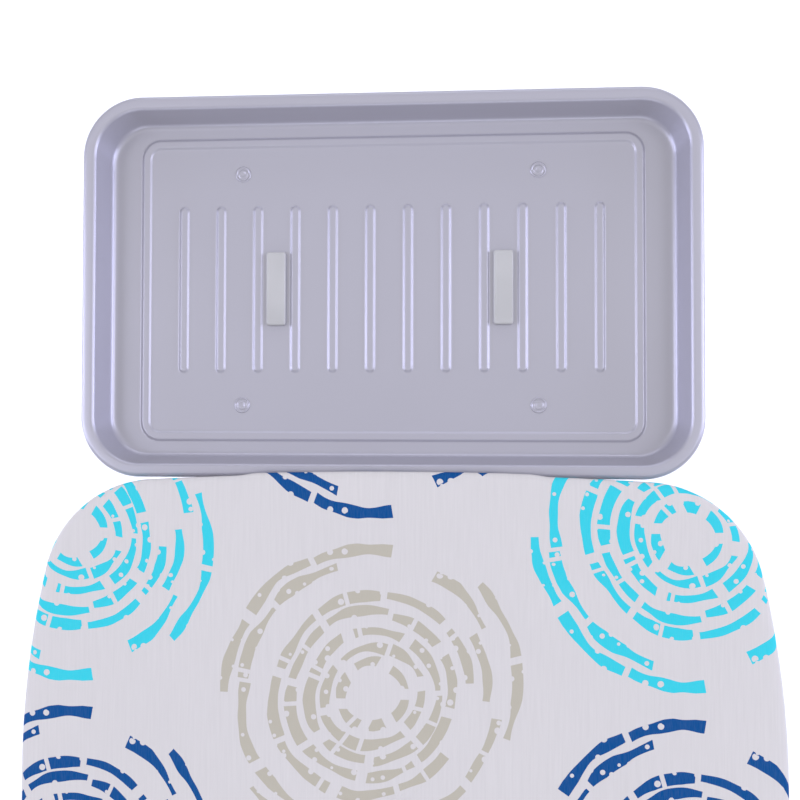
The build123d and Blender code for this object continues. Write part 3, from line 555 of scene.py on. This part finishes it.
def band_faces(first, second, count, closed=True):
    """Quads between two rows of count points, which start at these indices."""
    last = count if closed else count - 1
    faces = []
    for i in range(last):
        j = (i + 1) % count
        faces.append((first + i, first + j, second + j, second + i))
    return faces


def ring_stack(rings, cap_first=False, cap_last=False):
    """Points and faces of closed rings joined one to the next. A cap is a fan round a middle point."""
    count = len(rings[0])
    points = [tuple(point) for ring in rings for point in ring]
    faces = []
    for k in range(len(rings) - 1):
        faces += band_faces(k * count, (k + 1) * count, count)
    if cap_first:
        points.append(tuple(np.mean(rings[0], axis=0)))
        faces += [(len(points) - 1, (i + 1) % count, i) for i in range(count)]
    if cap_last:
        points.append(tuple(np.mean(rings[-1], axis=0)))
        start = (len(rings) - 1) * count
        faces += [(len(points) - 1, start + i, start + (i + 1) % count) for i in range(count)]
    return points, faces


def merge(parts):
    """Several (points, faces) as one."""
    points, faces = [], []
    for some_points, some_faces in parts:
        start = len(points)
        points += list(some_points)
        faces += [tuple(start + i for i in face) for face in some_faces]
    return points, faces


def flat_layer(piece, places):
    """Keeps where each point lies on the uncut cloth, so that the print and the weave follow the fabric."""
    layer = piece.data.uv_layers.new(name="flat")
    for loop in piece.data.loops:
        layer.data[loop.index].uv = places[loop.vertex_index]


def face_one_way(piece, open_sheet=False):
    """Turns the faces of a closed piece outwards, or those of an open sheet upwards."""
    mesh = bmesh.new()
    mesh.from_mesh(piece.data)
    bmesh.ops.recalc_face_normals(mesh, faces=mesh.faces)
    mesh.faces.ensure_lookup_table()
    if open_sheet and mesh.faces[0].normal.z < 0:
        bmesh.ops.reverse_faces(mesh, faces=mesh.faces)
    mesh.to_mesh(piece.data)
    mesh.free()


def thicken(piece, thickness):
    """Gives an open sheet its thickness, on the inner side, and keeps the result in the mesh."""
    modifier = piece.modifiers.new("thickness", "SOLIDIFY")
    modifier.thickness = thickness
    modifier.offset = -1.0
    modifier.use_even_offset = False
    graph = bpy.context.evaluated_depsgraph_get()
    thick = bpy.data.meshes.new_from_object(piece.evaluated_get(graph))
    piece.modifiers.clear()
    piece.data = thick


def circle(radius, count, phase=0.0):
    """Points round a circle, as x and y."""
    angles = phase + np.arange(count) * 2 * math.pi / count
    return np.c_[np.cos(angles), np.sin(angles)] * radius


def smooth_step(value):
    """0 to 1 with level ends."""
    value = np.clip(value, 0.0, 1.0)
    return value * value * (3 - 2 * value)


# ======== board outline ========
def arc_list():
    """Radius and turn of each arc of the right half. None is the straight side, with its length."""
    bow = math.radians(END_BOW_DEG)
    corner = math.radians(END_BOW_DEG + CORNER_DEG)
    corner_x = END_BOW_R * math.sin(bow) + CORNER_R * (math.sin(corner) - math.sin(bow))
    flare_r = (HALF_WIDTH - corner_x) / (1 - math.sin(corner))
    side = math.radians(TAPER_DEG)
    tip = math.radians(TAPER_DEG + SHOULDER_DEG)
    rest = HALF_WIDTH - TAPER_R * (1 - math.cos(side)) - SHOULDER_R * (math.cos(side) - math.cos(tip))
    nose_r = rest / math.cos(tip)
    wide_end = END_BOW_R * (1 - math.cos(bow))
    wide_end += CORNER_R * (math.cos(bow) - math.cos(corner)) + flare_r * math.cos(corner)
    taper = TAPER_R * math.sin(side) + nose_r * (1 - math.sin(tip))
    taper += SHOULDER_R * (math.sin(tip) - math.sin(side))
    return [
        (END_BOW_R, END_BOW_DEG),
        (CORNER_R, CORNER_DEG),
        (flare_r, 90.0 - END_BOW_DEG - CORNER_DEG),
        (None, BOARD_LENGTH - wide_end - taper),
        (TAPER_R, TAPER_DEG),
        (SHOULDER_R, SHOULDER_DEG),
        (nose_r, 90.0 - TAPER_DEG - SHOULDER_DEG),
    ]


def board_outline(half_count):
    """Evenly spaced points round the cover's edge, their outward normals and distances along it."""
    xs, ys, headings, lengths = [0.0], [COVER_HIGH.y], [0.0], [0.0]
    for radius, turn in arc_list():
        step = (turn if radius is None else radius * math.radians(turn)) / ARC_STEPS
        bend = 0.0 if radius is None else step / radius
        for _ in range(ARC_STEPS):
            middle = headings[-1] - bend / 2
            xs.append(xs[-1] + step * math.cos(middle))
            ys.append(ys[-1] + step * math.sin(middle))
            headings.append(headings[-1] - bend)
            lengths.append(lengths[-1] + step)
    at = np.linspace(0, lengths[-1], half_count + 1)
    x = np.interp(at, lengths, xs)
    y = np.interp(at, lengths, ys)
    heading = np.interp(at, lengths, headings)
    x[0] = x[-1] = 0.0
    right = np.c_[x, y]
    normal = np.c_[-np.sin(heading), np.cos(heading)]
    left = right[-2:0:-1] * (-1, 1)
    left_normal = normal[-2:0:-1] * (-1, 1)
    return np.r_[right, left], np.r_[normal, left_normal], np.r_[at, lengths[-1] * 2 - at[-2:0:-1]]


def inset_ring(outline, normal, inset, z):
    """The outline moved inwards, at a height. Both may differ from point to point."""
    flat = outline - normal * np.reshape(inset, (-1, 1))
    return np.c_[flat, np.broadcast_to(z, len(flat))]


def to_midline(ring, share, low_y, high_y):
    """Moves a ring towards the board's middle line by a share of the way."""
    target = np.c_[np.zeros(len(ring)), np.clip(ring[:, 1], low_y, high_y)]
    moved = ring.copy()
    moved[:, :2] = ring[:, :2] * (1 - share) + target * share
    return moved


def edge_waves(distance, lengths, count, seed):
    """A seeded mix of waves that closes on itself round the edge, from -1 to 1."""
    rng = random.Random(seed)
    total = distance[-1] + (distance[1] - distance[0])
    value = np.zeros(len(distance))
    for _ in range(count):
        turns = round(total / rng.uniform(*lengths))
        phase = rng.uniform(0, 2 * math.pi)
        value += np.sin(distance / total * turns * 2 * math.pi + phase) * rng.uniform(0.5, 1.0)
    return value / np.abs(value).max()


# ======== cover ========
def cover_profile():
    """Inset, height, waves in and out, waves up and down, and distance out on the flat cloth, in mm."""
    hem = HEM_Z / MM
    top = TOP / MM
    return [
        (39.4, hem + 0.7, 0.9, 1.0, 69),
        (33.0, hem + 0.6, 0.6, 0.9, 63),
        (26.0, hem + 0.5, 0.4, 0.7, 56),
        (19.0, hem + 0.4, 0.3, 0.5, 49),
        (12.0, hem + 0.3, 0.2, 0.3, 42),
        (7.6, hem + 0.4, 0.1, 0.2, 37),
        (5.9, hem + 1.2, 0.2, 0.1, 35),
        (5.2, hem + 3.0, 0.35, 0.0, 33),
        (5.0, hem + 6.5, 0.45, 0.0, 29),
        (4.9, hem + 11.0, 0.45, 0.0, 25),
        (4.8, hem + 15.5, 0.4, 0.0, 20.5),
        (4.4, top - 10.5, 0.3, 0.0, 16),
        (3.4, top - 8.6, 0.25, 0.0, 13.5),
        (1.9, top - 7.4, 0.2, 0.0, 11.5),
        (0.8, top - 6.0, 0.15, 0.0, 9),
        (0.25, top - 4.8, 0.1, 0.0, 7),
        (0.2, top - 3.6, 0.1, 0.0, 5),
        (0.7, top - 2.5, 0.08, 0.0, 3.5),
        (1.9, top - 1.75, 0.05, 0.0, 1.6),
        (3.8, top - 1.2, 0.0, 0.05, -0.8),
        (7.0, top - 0.45, 0.0, 0.05, -4),
        (12.0, top - 0.2, 0.0, 0.04, -9),
        (20.0, top - 0.05, 0.0, 0.0, -17),
        (32.0, top - 0.05, 0.0, 0.0, -29),
        (48.0, top - 0.05, 0.0, 0.0, -45),
    ]


def cover_rings(outline, normal, distance):
    """Rings of the cloth from its hem to the board's middle line, and where they lie on the flat cloth."""
    slack = edge_waves(distance, (9 * MM, 21 * MM), count=9, seed=4)
    broad = edge_waves(distance, (28 * MM, 70 * MM), count=6, seed=9)
    bends = np.abs(normal[:, 0]) * np.abs(normal[:, 1])
    gather = GATHER[0] + GATHER[1] * np.clip(bends, 0, 0.5)
    gather *= arm_gap(outline)
    lift = end_lift(outline)
    rings, flats = [], []
    for inset, z, in_out, up_down, along in cover_profile():
        waved = (inset + slack * in_out * gather + broad * BROAD_SHARE * in_out) * MM
        if inset < EDGE_INSET_MM:
            waved = waved - lift * END_LIFT
        rings.append(inset_ring(outline, normal, waved, (z + slack * gather * up_down) * MM))
        flats.append(outline + normal * along * MM)
    on_top = len(rings) - TOP_RINGS
    inner = rings[-1]
    for share in MIDLINE_SHARES:
        ring = to_midline(inner, share, MIDLINE_LOW, MIDLINE_HIGH)
        rings.append(ring)
        flats.append(ring[:, :2])
    for ring in rings[on_top:]:
        for point in ring:
            point[2] -= SAG * (1 + noise.noise((point[0] * 17, point[1] * 9, 2.0)))
    return rings, np.concatenate(flats)


def cover():
    """The fabric: hem turned under, skirt round the frame tube, rounded edge, and the tight top."""
    outline, normal, distance = board_outline(EDGE_POINTS)
    rings, flat = cover_rings(outline, normal, distance)
    points, faces = ring_stack(rings)
    faces = [tuple(reversed(face)) for face in faces]
    piece = new_piece("cover_cloth", points, faces, "cover_fabric", "board")
    flat_layer(piece, flat)
    thicken(piece, CLOTH_T)
    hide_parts("cover")
    hem = cover_hem(rings[0])


def end_lift(outline):
    """Where the cloth rides up over the tray's rim it stands a little further out, from 0 to 1."""
    along = smooth_step((END_LIFT_HALF - np.abs(outline[:, 0] - END_LIFT_X)) / END_LIFT_RUN)
    return along * (outline[:, 1] > COVER_HIGH.y - END_LIFT_FROM_END)


def arm_gap(outline):
    """Close to 0 where the hem passes over a tray arm, 1 elsewhere."""
    still = np.ones(len(outline))
    for node in ("tray_arm_left", "tray_arm_right"):
        low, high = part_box(node)
        middle = (low.x + high.x) / 2
        near = np.exp(-((outline[:, 0] - middle) / ARM_GAP_REACH) ** 2)
        still -= ARM_GAP_DEPTH * near * (outline[:, 1] > COVER_HIGH.y - ARM_GAP_FROM_END)
    return still


def cover_hem(edge):
    """The rolled hem round its elastic, along the inner edge of the cloth."""
    middle = edge + np.array((0.0, 0.0, HEM_RISE))
    ahead = np.roll(middle, -1, axis=0) - np.roll(middle, 1, axis=0)
    ahead /= np.linalg.norm(ahead, axis=1)[:, None]
    side = np.cross(ahead, (0.0, 0.0, 1.0))
    side /= np.linalg.norm(side, axis=1)[:, None]
    rise = np.cross(side, ahead)
    rings = []
    for k in range(HEM_SIDES):
        turn = k * 2 * math.pi / HEM_SIDES
        rings.append(middle + HEM_RADIUS * (math.cos(turn) * side + math.sin(turn) * rise))
    points = np.concatenate(rings)
    count = len(edge)
    faces = []
    for k in range(HEM_SIDES):
        faces += band_faces(k * count, ((k + 1) % HEM_SIDES) * count, count)
    piece = new_piece("cover_hem", points, faces, "cover_fabric", "board")
    flat_layer(piece, points[:, :2])
    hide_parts("cover_elastic")
    return piece


def felt_pad():
    """The felt underlay: a flat pad with a rounded edge."""
    outline, normal, _ = board_outline(FELT_EDGE_POINTS)
    low = FELT_LOW.z / MM
    high = FELT_HIGH.z / MM - FELT_SETTLE_MM
    # inset and height of each ring, in mm
    profile = [
        (48.0, low),
        (12.0, low),
        (FELT_INSET_MM + 1.2, low),
        (FELT_INSET_MM + 0.3, low + 0.6),
        (FELT_INSET_MM, low + 2.0),
        (FELT_INSET_MM + 0.1, high - 2.6),
        (FELT_INSET_MM + 0.8, high - 1.6),
        (FELT_INSET_MM + 2.4, high - 1.0),
        (8.0, high - 0.4),
        (16.0, high),
        (48.0, high),
    ]
    rings = [inset_ring(outline, normal, inset * MM, z * MM) for inset, z in profile]
    lower = [to_midline(rings[0], share, MIDLINE_LOW, MIDLINE_HIGH) for share in reversed(MIDLINE_SHARES)]
    upper = [to_midline(rings[-1], share, MIDLINE_LOW, MIDLINE_HIGH) for share in MIDLINE_SHARES]
    points, faces = ring_stack(lower + rings + upper)
    faces = [tuple(reversed(face)) for face in faces]
    piece = new_piece("felt_pad", points, faces, "felt", "board")
    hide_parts("underlay_felt")


# ======== iron rest ========
def side_path(half_w, half_l, radius, shares):
    """Points along the top side of a rounded rectangle, from mid-corner to mid-corner."""
    straight = 2 * (half_w - radius)
    quarter = radius * math.pi / 4
    points = []
    for s in np.asarray(shares) * (straight + 2 * quarter):
        if s < quarter:
            centre_x, turn = radius - half_w, math.radians(135) - s / radius
        elif s <= quarter + straight:
            centre_x, turn = s - quarter + radius - half_w, math.pi / 2
        else:
            centre_x, turn = half_w - radius, math.pi / 2 - (s - quarter - straight) / radius
        points.append((centre_x + radius * math.cos(turn), half_l - radius + radius * math.sin(turn)))
    return np.array(points)


def frame_ring(half_w, half_l, radius, columns, rows):
    """A rounded rectangle with one point for each edge point of a grid of columns by rows, clockwise."""
    across = np.linspace(0, 1, columns)[:-1]
    down = np.linspace(0, 1, rows)[:-1]
    top = side_path(half_w, half_l, radius, across)
    right = side_path(half_l, half_w, radius, down)
    right = np.c_[right[:, 1], -right[:, 0]]
    return np.r_[top, right, -top, -right]


def rib_offsets():
    """Distances in mm from a rib's middle line, on both sides, at which grid lines run."""
    return tuple(-offset for offset in reversed(RIB_LINES_MM)) + (0.0,) + RIB_LINES_MM


def floor_lines():
    """Grid lines of the tray's floor, close together where the ribs need them."""
    edge_x = BEAD_HALF[0] - BEAD_MARGIN
    edge_y = BEAD_HALF[1] - BEAD_MARGIN
    xs = [-edge_x]
    for index in range(RIB_COUNT):
        middle = (index - (RIB_COUNT - 1) / 2) * RIB_PITCH
        xs += [middle + offset * MM for offset in rib_offsets()]
        if index < RIB_COUNT - 1:
            xs.append(middle + RIB_PITCH / 2)
    xs.append(edge_x)
    cap = RIB_HALF_LENGTH - RIB_HALF_WIDTH
    ends = [cap + offset * MM for offset in RIB_END_LINES_MM + RIB_LINES_MM]
    outer = list(np.linspace(ends[-1], edge_y, 9)[1:])
    inner = list(np.linspace(0, ends[0], 16)[:-1])
    half = inner + ends + outer
    ys = [-y for y in reversed(half[1:])] + half
    return np.array(xs), np.array(ys)


def rib_height(x, y):
    """Height of the nearest rib over the floor at each point."""
    nearest = np.clip(np.round(x / RIB_PITCH + (RIB_COUNT - 1) / 2), 0, RIB_COUNT - 1)
    middle = (nearest - (RIB_COUNT - 1) / 2) * RIB_PITCH
    past_end = np.maximum(np.abs(y) - (RIB_HALF_LENGTH - RIB_HALF_WIDTH), 0.0)
    return rib_section(np.hypot(x - middle, past_end))


def rib_section(offset):
    """Height of a rib or of the bead at this distance from its middle line."""
    return RIB_RISE * smooth_step((RIB_HALF_WIDTH - offset) / RIB_FLANK)


def grid_border(columns, rows):
    """Indices of a grid's edge points, clockwise from its first."""
    top = list(range(columns - 1))
    right = [r * columns + columns - 1 for r in range(rows - 1)]
    bottom = [(rows - 1) * columns + c for c in range(columns - 1, 0, -1)]
    left = [r * columns for r in range(rows - 1, 0, -1)]
    return top + right + bottom + left


def bead_rings(columns, rows):
    """Rings over the stiffening bead, from its inner side to its outer side."""
    rings = []
    for offset in (BEAD_SIDES_MM[0],) + rib_offsets()[1:-1] + (BEAD_SIDES_MM[1],):
        inset = RIB_HALF_WIDTH - offset * MM
        radius = max(BEAD_CORNER_R - inset, LEAST_CORNER_R)
        ring = frame_ring(BEAD_HALF[0] - inset, BEAD_HALF[1] - inset, radius, columns, rows)
        rings.append(np.c_[ring, np.full(len(ring), FLOOR_Z + rib_section(abs(offset) * MM))])
    return rings


def wall_rings(columns, rows):
    """Rings up the sloped wall, over the rim and down its turned edge."""
    half_w = (TRAY_HIGH.x - TRAY_LOW.x) / 2
    half_l = (TRAY_HIGH.y - TRAY_LOW.y) / 2
    wall_foot = RIM_WIDTH + WALL_RUN
    depth = TRAY_HIGH.z - FLOOR_Z
    bend = math.pi / 2 - math.atan2(WALL_RUN, depth)
    profile = [(wall_foot + FOOT_GAP, FLOOR_Z)]
    reach = FOOT_R * math.tan(bend / 2)
    for k in range(BEND_STEPS + 1):
        turn = bend * k / BEND_STEPS
        inset = wall_foot + reach - FOOT_R * math.sin(turn)
        profile.append((inset, FLOOR_Z + FOOT_R * (1 - math.cos(turn))))
    for share in (0.3, 0.55, 0.8):
        profile.append((wall_foot - WALL_RUN * share, FLOOR_Z + depth * share))
    reach = LIP_R * math.tan(bend / 2)
    for k in range(BEND_STEPS, -1, -1):
        turn = bend * k / BEND_STEPS
        inset = RIM_WIDTH - reach + LIP_R * math.sin(turn)
        profile.append((inset, TRAY_HIGH.z - LIP_R * (1 - math.cos(turn))))
    for k in range(BEND_STEPS + 1):
        turn = math.pi / 2 * k / BEND_STEPS
        profile.append((EDGE_R * (1 - math.sin(turn)), TRAY_HIGH.z - EDGE_R * (1 - math.cos(turn))))
    profile += [(0.0, TRAY_HIGH.z - drop) for drop in EDGE_DROPS]
    rings = []
    for inset, z in profile:
        radius = max(RIM_CORNER_R - inset, LEAST_CORNER_R)
        ring = frame_ring(half_w - inset, half_l - inset, radius, columns, rows)
        rings.append(np.c_[ring, np.full(len(ring), z)])
    return rings


def iron_rest():
    """The pressed tray: ribbed floor on a grid, then rings out over the bead, wall and rim."""
    xs, ys = floor_lines()
    columns, rows = len(xs), len(ys)
    grid_x, grid_y = np.meshgrid(xs, ys[::-1])
    grid = np.stack([grid_x, grid_y, FLOOR_Z + rib_height(grid_x, grid_y)], axis=-1).reshape(-1, 3)
    faces = []
    for r in range(rows - 1):
        for c in range(columns - 1):
            a = r * columns + c
            faces.append((a, a + columns, a + columns + 1, a + 1))
    rings = bead_rings(columns, rows) + wall_rings(columns, rows)
    border = grid_border(columns, rows)
    count = len(border)
    start = len(grid)
    for i in range(count):
        j = (i + 1) % count
        faces.append((border[i], border[j], start + j, start + i))
    for k in range(len(rings) - 1):
        first = start + k * count
        faces += [tuple(reversed(face)) for face in band_faces(first + count, first, count)]
    points = np.r_[grid, np.concatenate(rings)] + (TRAY_MID.x, TRAY_MID.y, 0)
    piece = new_piece("iron_rest", points, faces, "tray_lacquer", "board")
    face_one_way(piece, open_sheet=True)
    thicken(piece, SHEET_T * 0.9)
    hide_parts("iron_tray")


def clinches():
    """The four clinch rivets, pressed flat and lacquered with the tray."""
    low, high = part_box("tray_rivets")
    # radius and height over the tray's floor, in mm
    profile = (
        (5.0, -0.2), (4.9, 0.15), (4.6, 0.42), (4.2, 0.5), (3.9, 0.34), (3.65, 0.08), (3.3, 0.04),
        (2.9, 0.12), (2.6, 0.36), (2.2, 0.46), (1.7, 0.4), (1.2, 0.22), (0.6, 0.16),
    )
    parts = []
    for x in (low.x + CLINCH_R, high.x - CLINCH_R):
        for y in (low.y + CLINCH_R, high.y - CLINCH_R):
            rings = []
            for r, z in profile:
                level = np.full(CLINCH_POINTS, FLOOR_Z + z * MM)
                rings.append(np.c_[circle(r * MM, CLINCH_POINTS) + (x, y), level])
            parts.append(ring_stack(rings, cap_first=True, cap_last=True))
    points, faces = merge(parts)
    piece = new_piece("tray_clinches", points, faces, "tray_lacquer", "board")
    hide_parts("tray_rivets")


def tray_pads():
    """Silicone pads: blocks with a soft top edge and a slightly dished top."""
    # inset and drop below the top, in mm
    profile = (
        (0.4, 3.2), (0.1, 2.9), (0.0, 2.4), (0.0, 1.2), (0.12, 0.6), (0.45, 0.2), (0.95, 0.02),
        (1.4, 0.0), (1.7, 0.12), (2.1, 0.16), (4.0, 0.16),
    )
    for side in ("left", "right"):
        low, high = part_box(f"tray_pad_{side}")
        middle = (low + high) / 2
        half_w = (high.x - low.x) / 2
        half_l = (high.y - low.y) / 2
        rings = []
        for inset, drop in profile:
            radius = max(PAD_CORNER_R_MM - inset, 0.4) * MM
            ring = frame_ring(half_w - inset * MM, half_l - inset * MM, radius, 24, 48)
            rings.append(np.c_[ring + (middle.x, middle.y), np.full(len(ring), high.z - drop * MM)])
        points, faces = ring_stack(rings, cap_first=True, cap_last=True)
        piece = new_piece(f"silicone_pad_{side}", points, faces, "silicone", "board")
        face_one_way(piece)
        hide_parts(f"tray_pad_{side}")


# ======== feet, grip and spring ========
def sleeve_profile():
    """Distance in from the sleeve's mouth and radius, in mm."""
    profile = [(0.0, 11.2), (0.0, 14.8), (0.6, 15.9), (1.8, 16.4), (4.5, SLEEVE_R_MM)]
    for groove in range(GROOVE_COUNT):
        start = GROOVE_START_MM + groove * GROOVE_PITCH_MM
        bottom = SLEEVE_R_MM - GROOVE_DEPTH_MM
        profile += [(start, SLEEVE_R_MM), (start + 0.5, bottom)]
        profile += [(start + 1.4, bottom), (start + 1.9, SLEEVE_R_MM)]
    profile += [(29.0, SLEEVE_R_MM), (32.5, 16.0), (35.0, 14.4), (36.4, 12.0), (37.0, 8.0), (37.0, 3.0)]
    return profile


def foot_sleeves(node, piece_name, body):
    """Rubber sleeves with grip grooves, a rounded end and a flat underside."""
    low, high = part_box(node)
    y = (low.y + high.y) / 2
    parts = []
    for side in (-1, 1):
        mouth = (high.x if side > 0 else low.x) - side * SLEEVE_LENGTH
        rings = []
        for along, radius in sleeve_profile():
            ring = circle(radius * MM, SLEEVE_POINTS, math.pi / SLEEVE_POINTS)
            x = np.full(SLEEVE_POINTS, mouth + side * along * MM)
            z = np.maximum(ring[:, 1] + SLEEVE_AXIS_Z, 0.0)
            rings.append(np.c_[x, ring[:, 0] + y, z])
        parts.append(ring_stack(rings, cap_last=True))
    points, faces = merge(parts)
    piece = new_piece(piece_name, points, faces, "foot_rubber", body)
    face_one_way(piece)
    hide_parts(node)


def grip_section(x, share, swell, middle, half_y, half_z):
    """One rounded-square section of the grip, hollowed underneath where a finger lies."""
    size = 0.35 + 0.65 * swell
    finger = 0.5 + 0.5 * math.cos(share * GRIP_GROOVES * 2 * math.pi)
    ring = []
    for step in range(GRIP_POINTS):
        turn = step * 2 * math.pi / GRIP_POINTS
        c, s = math.cos(turn), math.sin(turn)
        y = math.copysign(abs(c) ** GRIP_SQUARENESS, c) * half_y * size
        z = math.copysign(abs(s) ** GRIP_SQUARENESS, s) * half_z * size
        if s < 0:
            z *= 1 - GRIP_GROOVE_DEPTH * finger * min(1.0, -s * 1.6) * swell
        ring.append((x, middle.y + y, middle.z + z))
    return np.array(ring)


def hand_grip():
    """A moulded sleeve with finger grooves underneath."""
    low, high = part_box("lever_grip")
    middle = (low + high) / 2
    half_y = (high.y - low.y) / 2
    half_z = (high.z - low.z) / 2
    length = high.x - low.x
    rings = []
    for k in range(GRIP_STATIONS + 1):
        share = k / GRIP_STATIONS
        from_end = min(share, 1 - share) * length
        swell = math.sqrt(max(0.0, 1 - max(0.0, 1 - from_end / GRIP_END) ** 2))
        rings.append(grip_section(low.x + share * length, share, swell, middle, half_y, half_z))
    points, faces = ring_stack(rings, cap_first=True, cap_last=True)
    piece = new_piece("hand_grip", points, faces, "moulding", "height_lever")
    face_one_way(piece)
    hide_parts("lever_grip")


def return_spring():
    """A torsion spring wound round the lever's pin."""
    low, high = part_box("lever_spring")
    middle = (low + high) / 2
    coil_r = (high.x - low.x) / 2 - SPRING_WIRE_R
    steps = SPRING_TURNS * SPRING_STEPS
    path = []
    for k in range(steps + 1):
        turn = k * 2 * math.pi / SPRING_STEPS
        y = low.y + SPRING_WIRE_R + (high.y - low.y - 2 * SPRING_WIRE_R) * k / steps
        path.append(Vector((middle.x + coil_r * math.cos(turn), y, middle.z + coil_r * math.sin(turn))))
    rings = []
    for k, point in enumerate(path):
        ahead = (path[min(k + 1, steps)] - path[max(k - 1, 0)]).normalized()
        outward = (point - Vector((middle.x, point.y, middle.z))).normalized()
        side = ahead.cross(outward).normalized()
        ring = []
        for step in range(WIRE_SIDES):
            turn = step * 2 * math.pi / WIRE_SIDES
            ring.append(tuple(point + SPRING_WIRE_R * (math.cos(turn) * outward + math.sin(turn) * side)))
        rings.append(np.array(ring))
    points, faces = ring_stack(rings, cap_first=True, cap_last=True)
    piece = new_piece("return_spring", points, faces, "zinc", "latch_carriage")
    face_one_way(piece)
    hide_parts("lever_spring")


def finish_nodes():
    """Gives each CAD node that stays the material of its slot."""
    for subpart in frame["record"]["subparts"]:
        node = NODES[subpart["node"]]
        material = MATERIALS[subpart["material_slot"]]
        if not node.material_slots:
            node.data.materials.append(material)
        for slot in node.material_slots:
            slot.material = material


# ======== stage ========
def floor():
    """A plain pale floor."""
    r = FLOOR_REACH
    corners = [(-r, -r, 0), (r, -r, 0), (r, r, 0), (-r, r, 0)]
    mesh = bpy.data.meshes.new("floor")
    mesh.from_pydata(corners, [], [(0, 1, 2, 3)])
    plane = bpy.data.objects.new("floor", mesh)
    bpy.context.scene.collection.objects.link(plane)
    g = Graph("floor")
    speck = g.noise(g.object_point(), 6.0, 2.0)
    g.set(Base_Color=g.mix(speck, (0.955, 0.955, 0.955, 1), (0.975, 0.975, 0.975, 1)), Roughness=0.9)
    mesh.materials.append(g.material)


def area_light(name, place, target, size, energy, colour):
    """A rectangular soft light, turned to its target."""
    light = bpy.data.lights.new(name, "AREA")
    light.shape = "RECTANGLE"
    light.size, light.size_y = size
    light.energy = energy
    light.color = colour
    lamp = bpy.data.objects.new(name, light)
    lamp.location = place
    lamp.rotation_euler = (Vector(target) - Vector(place)).to_track_quat("-Z", "Y").to_euler()
    bpy.context.scene.collection.objects.link(lamp)


def studio():
    """A white surround, a large softbox overhead, and cool soft lights to the sides and ends."""
    world = bpy.data.worlds.new("studio")
    world.use_nodes = True
    background = world.node_tree.nodes["Background"]
    background.inputs["Color"].default_value = (1.0, 1.0, 1.0, 1)
    background.inputs["Strength"].default_value = WORLD_STRENGTH
    bpy.context.scene.world = world
    target = (TRAY_MID.x, TRAY_MID.y - AIM_NEARER, TOP)
    area_light("softbox", (0.0, 0.6, 6.0), (0.0, 0.6, 0.0), (8.0, 8.0), 86, WARM)
    area_light("side_right", (2.3, 0.7, 3.1), target, SIDE_SIZE, 34, COOL)
    area_light("side_left", (-2.3, 0.5, 3.1), target, SIDE_SIZE, 31, COOL)
    area_light("low_right", (2.4, 0.7, 1.3), target, LOW_SIZE, 34, LOW_COOL)
    area_light("low_left", (-2.4, 0.5, 1.3), target, LOW_SIZE, 30, LOW_COOL)
    area_light("far_end", (0.0, 3.4, 1.8), target, END_SIZE, 18, END_COOL)
    area_light("near_end", (0.0, -2.6, 1.9), target, END_SIZE, 18, END_COOL)
    bpy.context.scene.view_settings.view_transform = "Standard"


def camera():
    """Looks almost straight down on the iron rest and the wide end of the board."""
    data = bpy.data.cameras.new("camera")
    data.lens = LENS_MM
    data.sensor_width = SENSOR_MM
    data.clip_start = CLIP_START
    eye = bpy.data.objects.new("camera", data)
    eye.location = Vector((TRAY_MID.x, TRAY_MID.y, TOP)) + CAMERA_FROM_TRAY
    eye.rotation_euler = Euler([math.radians(angle) for angle in CAMERA_TILT], "XYZ")
    bpy.context.scene.collection.objects.link(eye)
    bpy.context.scene.camera = eye


finish_nodes()
cover()
felt_pad()
iron_rest()
clinches()
tray_pads()
foot_sleeves("outer_foot_caps", "outer_foot_sleeves", "outer_leg")
foot_sleeves("inner_foot_caps", "inner_foot_sleeves", "inner_leg")
hand_grip()
return_spring()
floor()
studio()
camera()
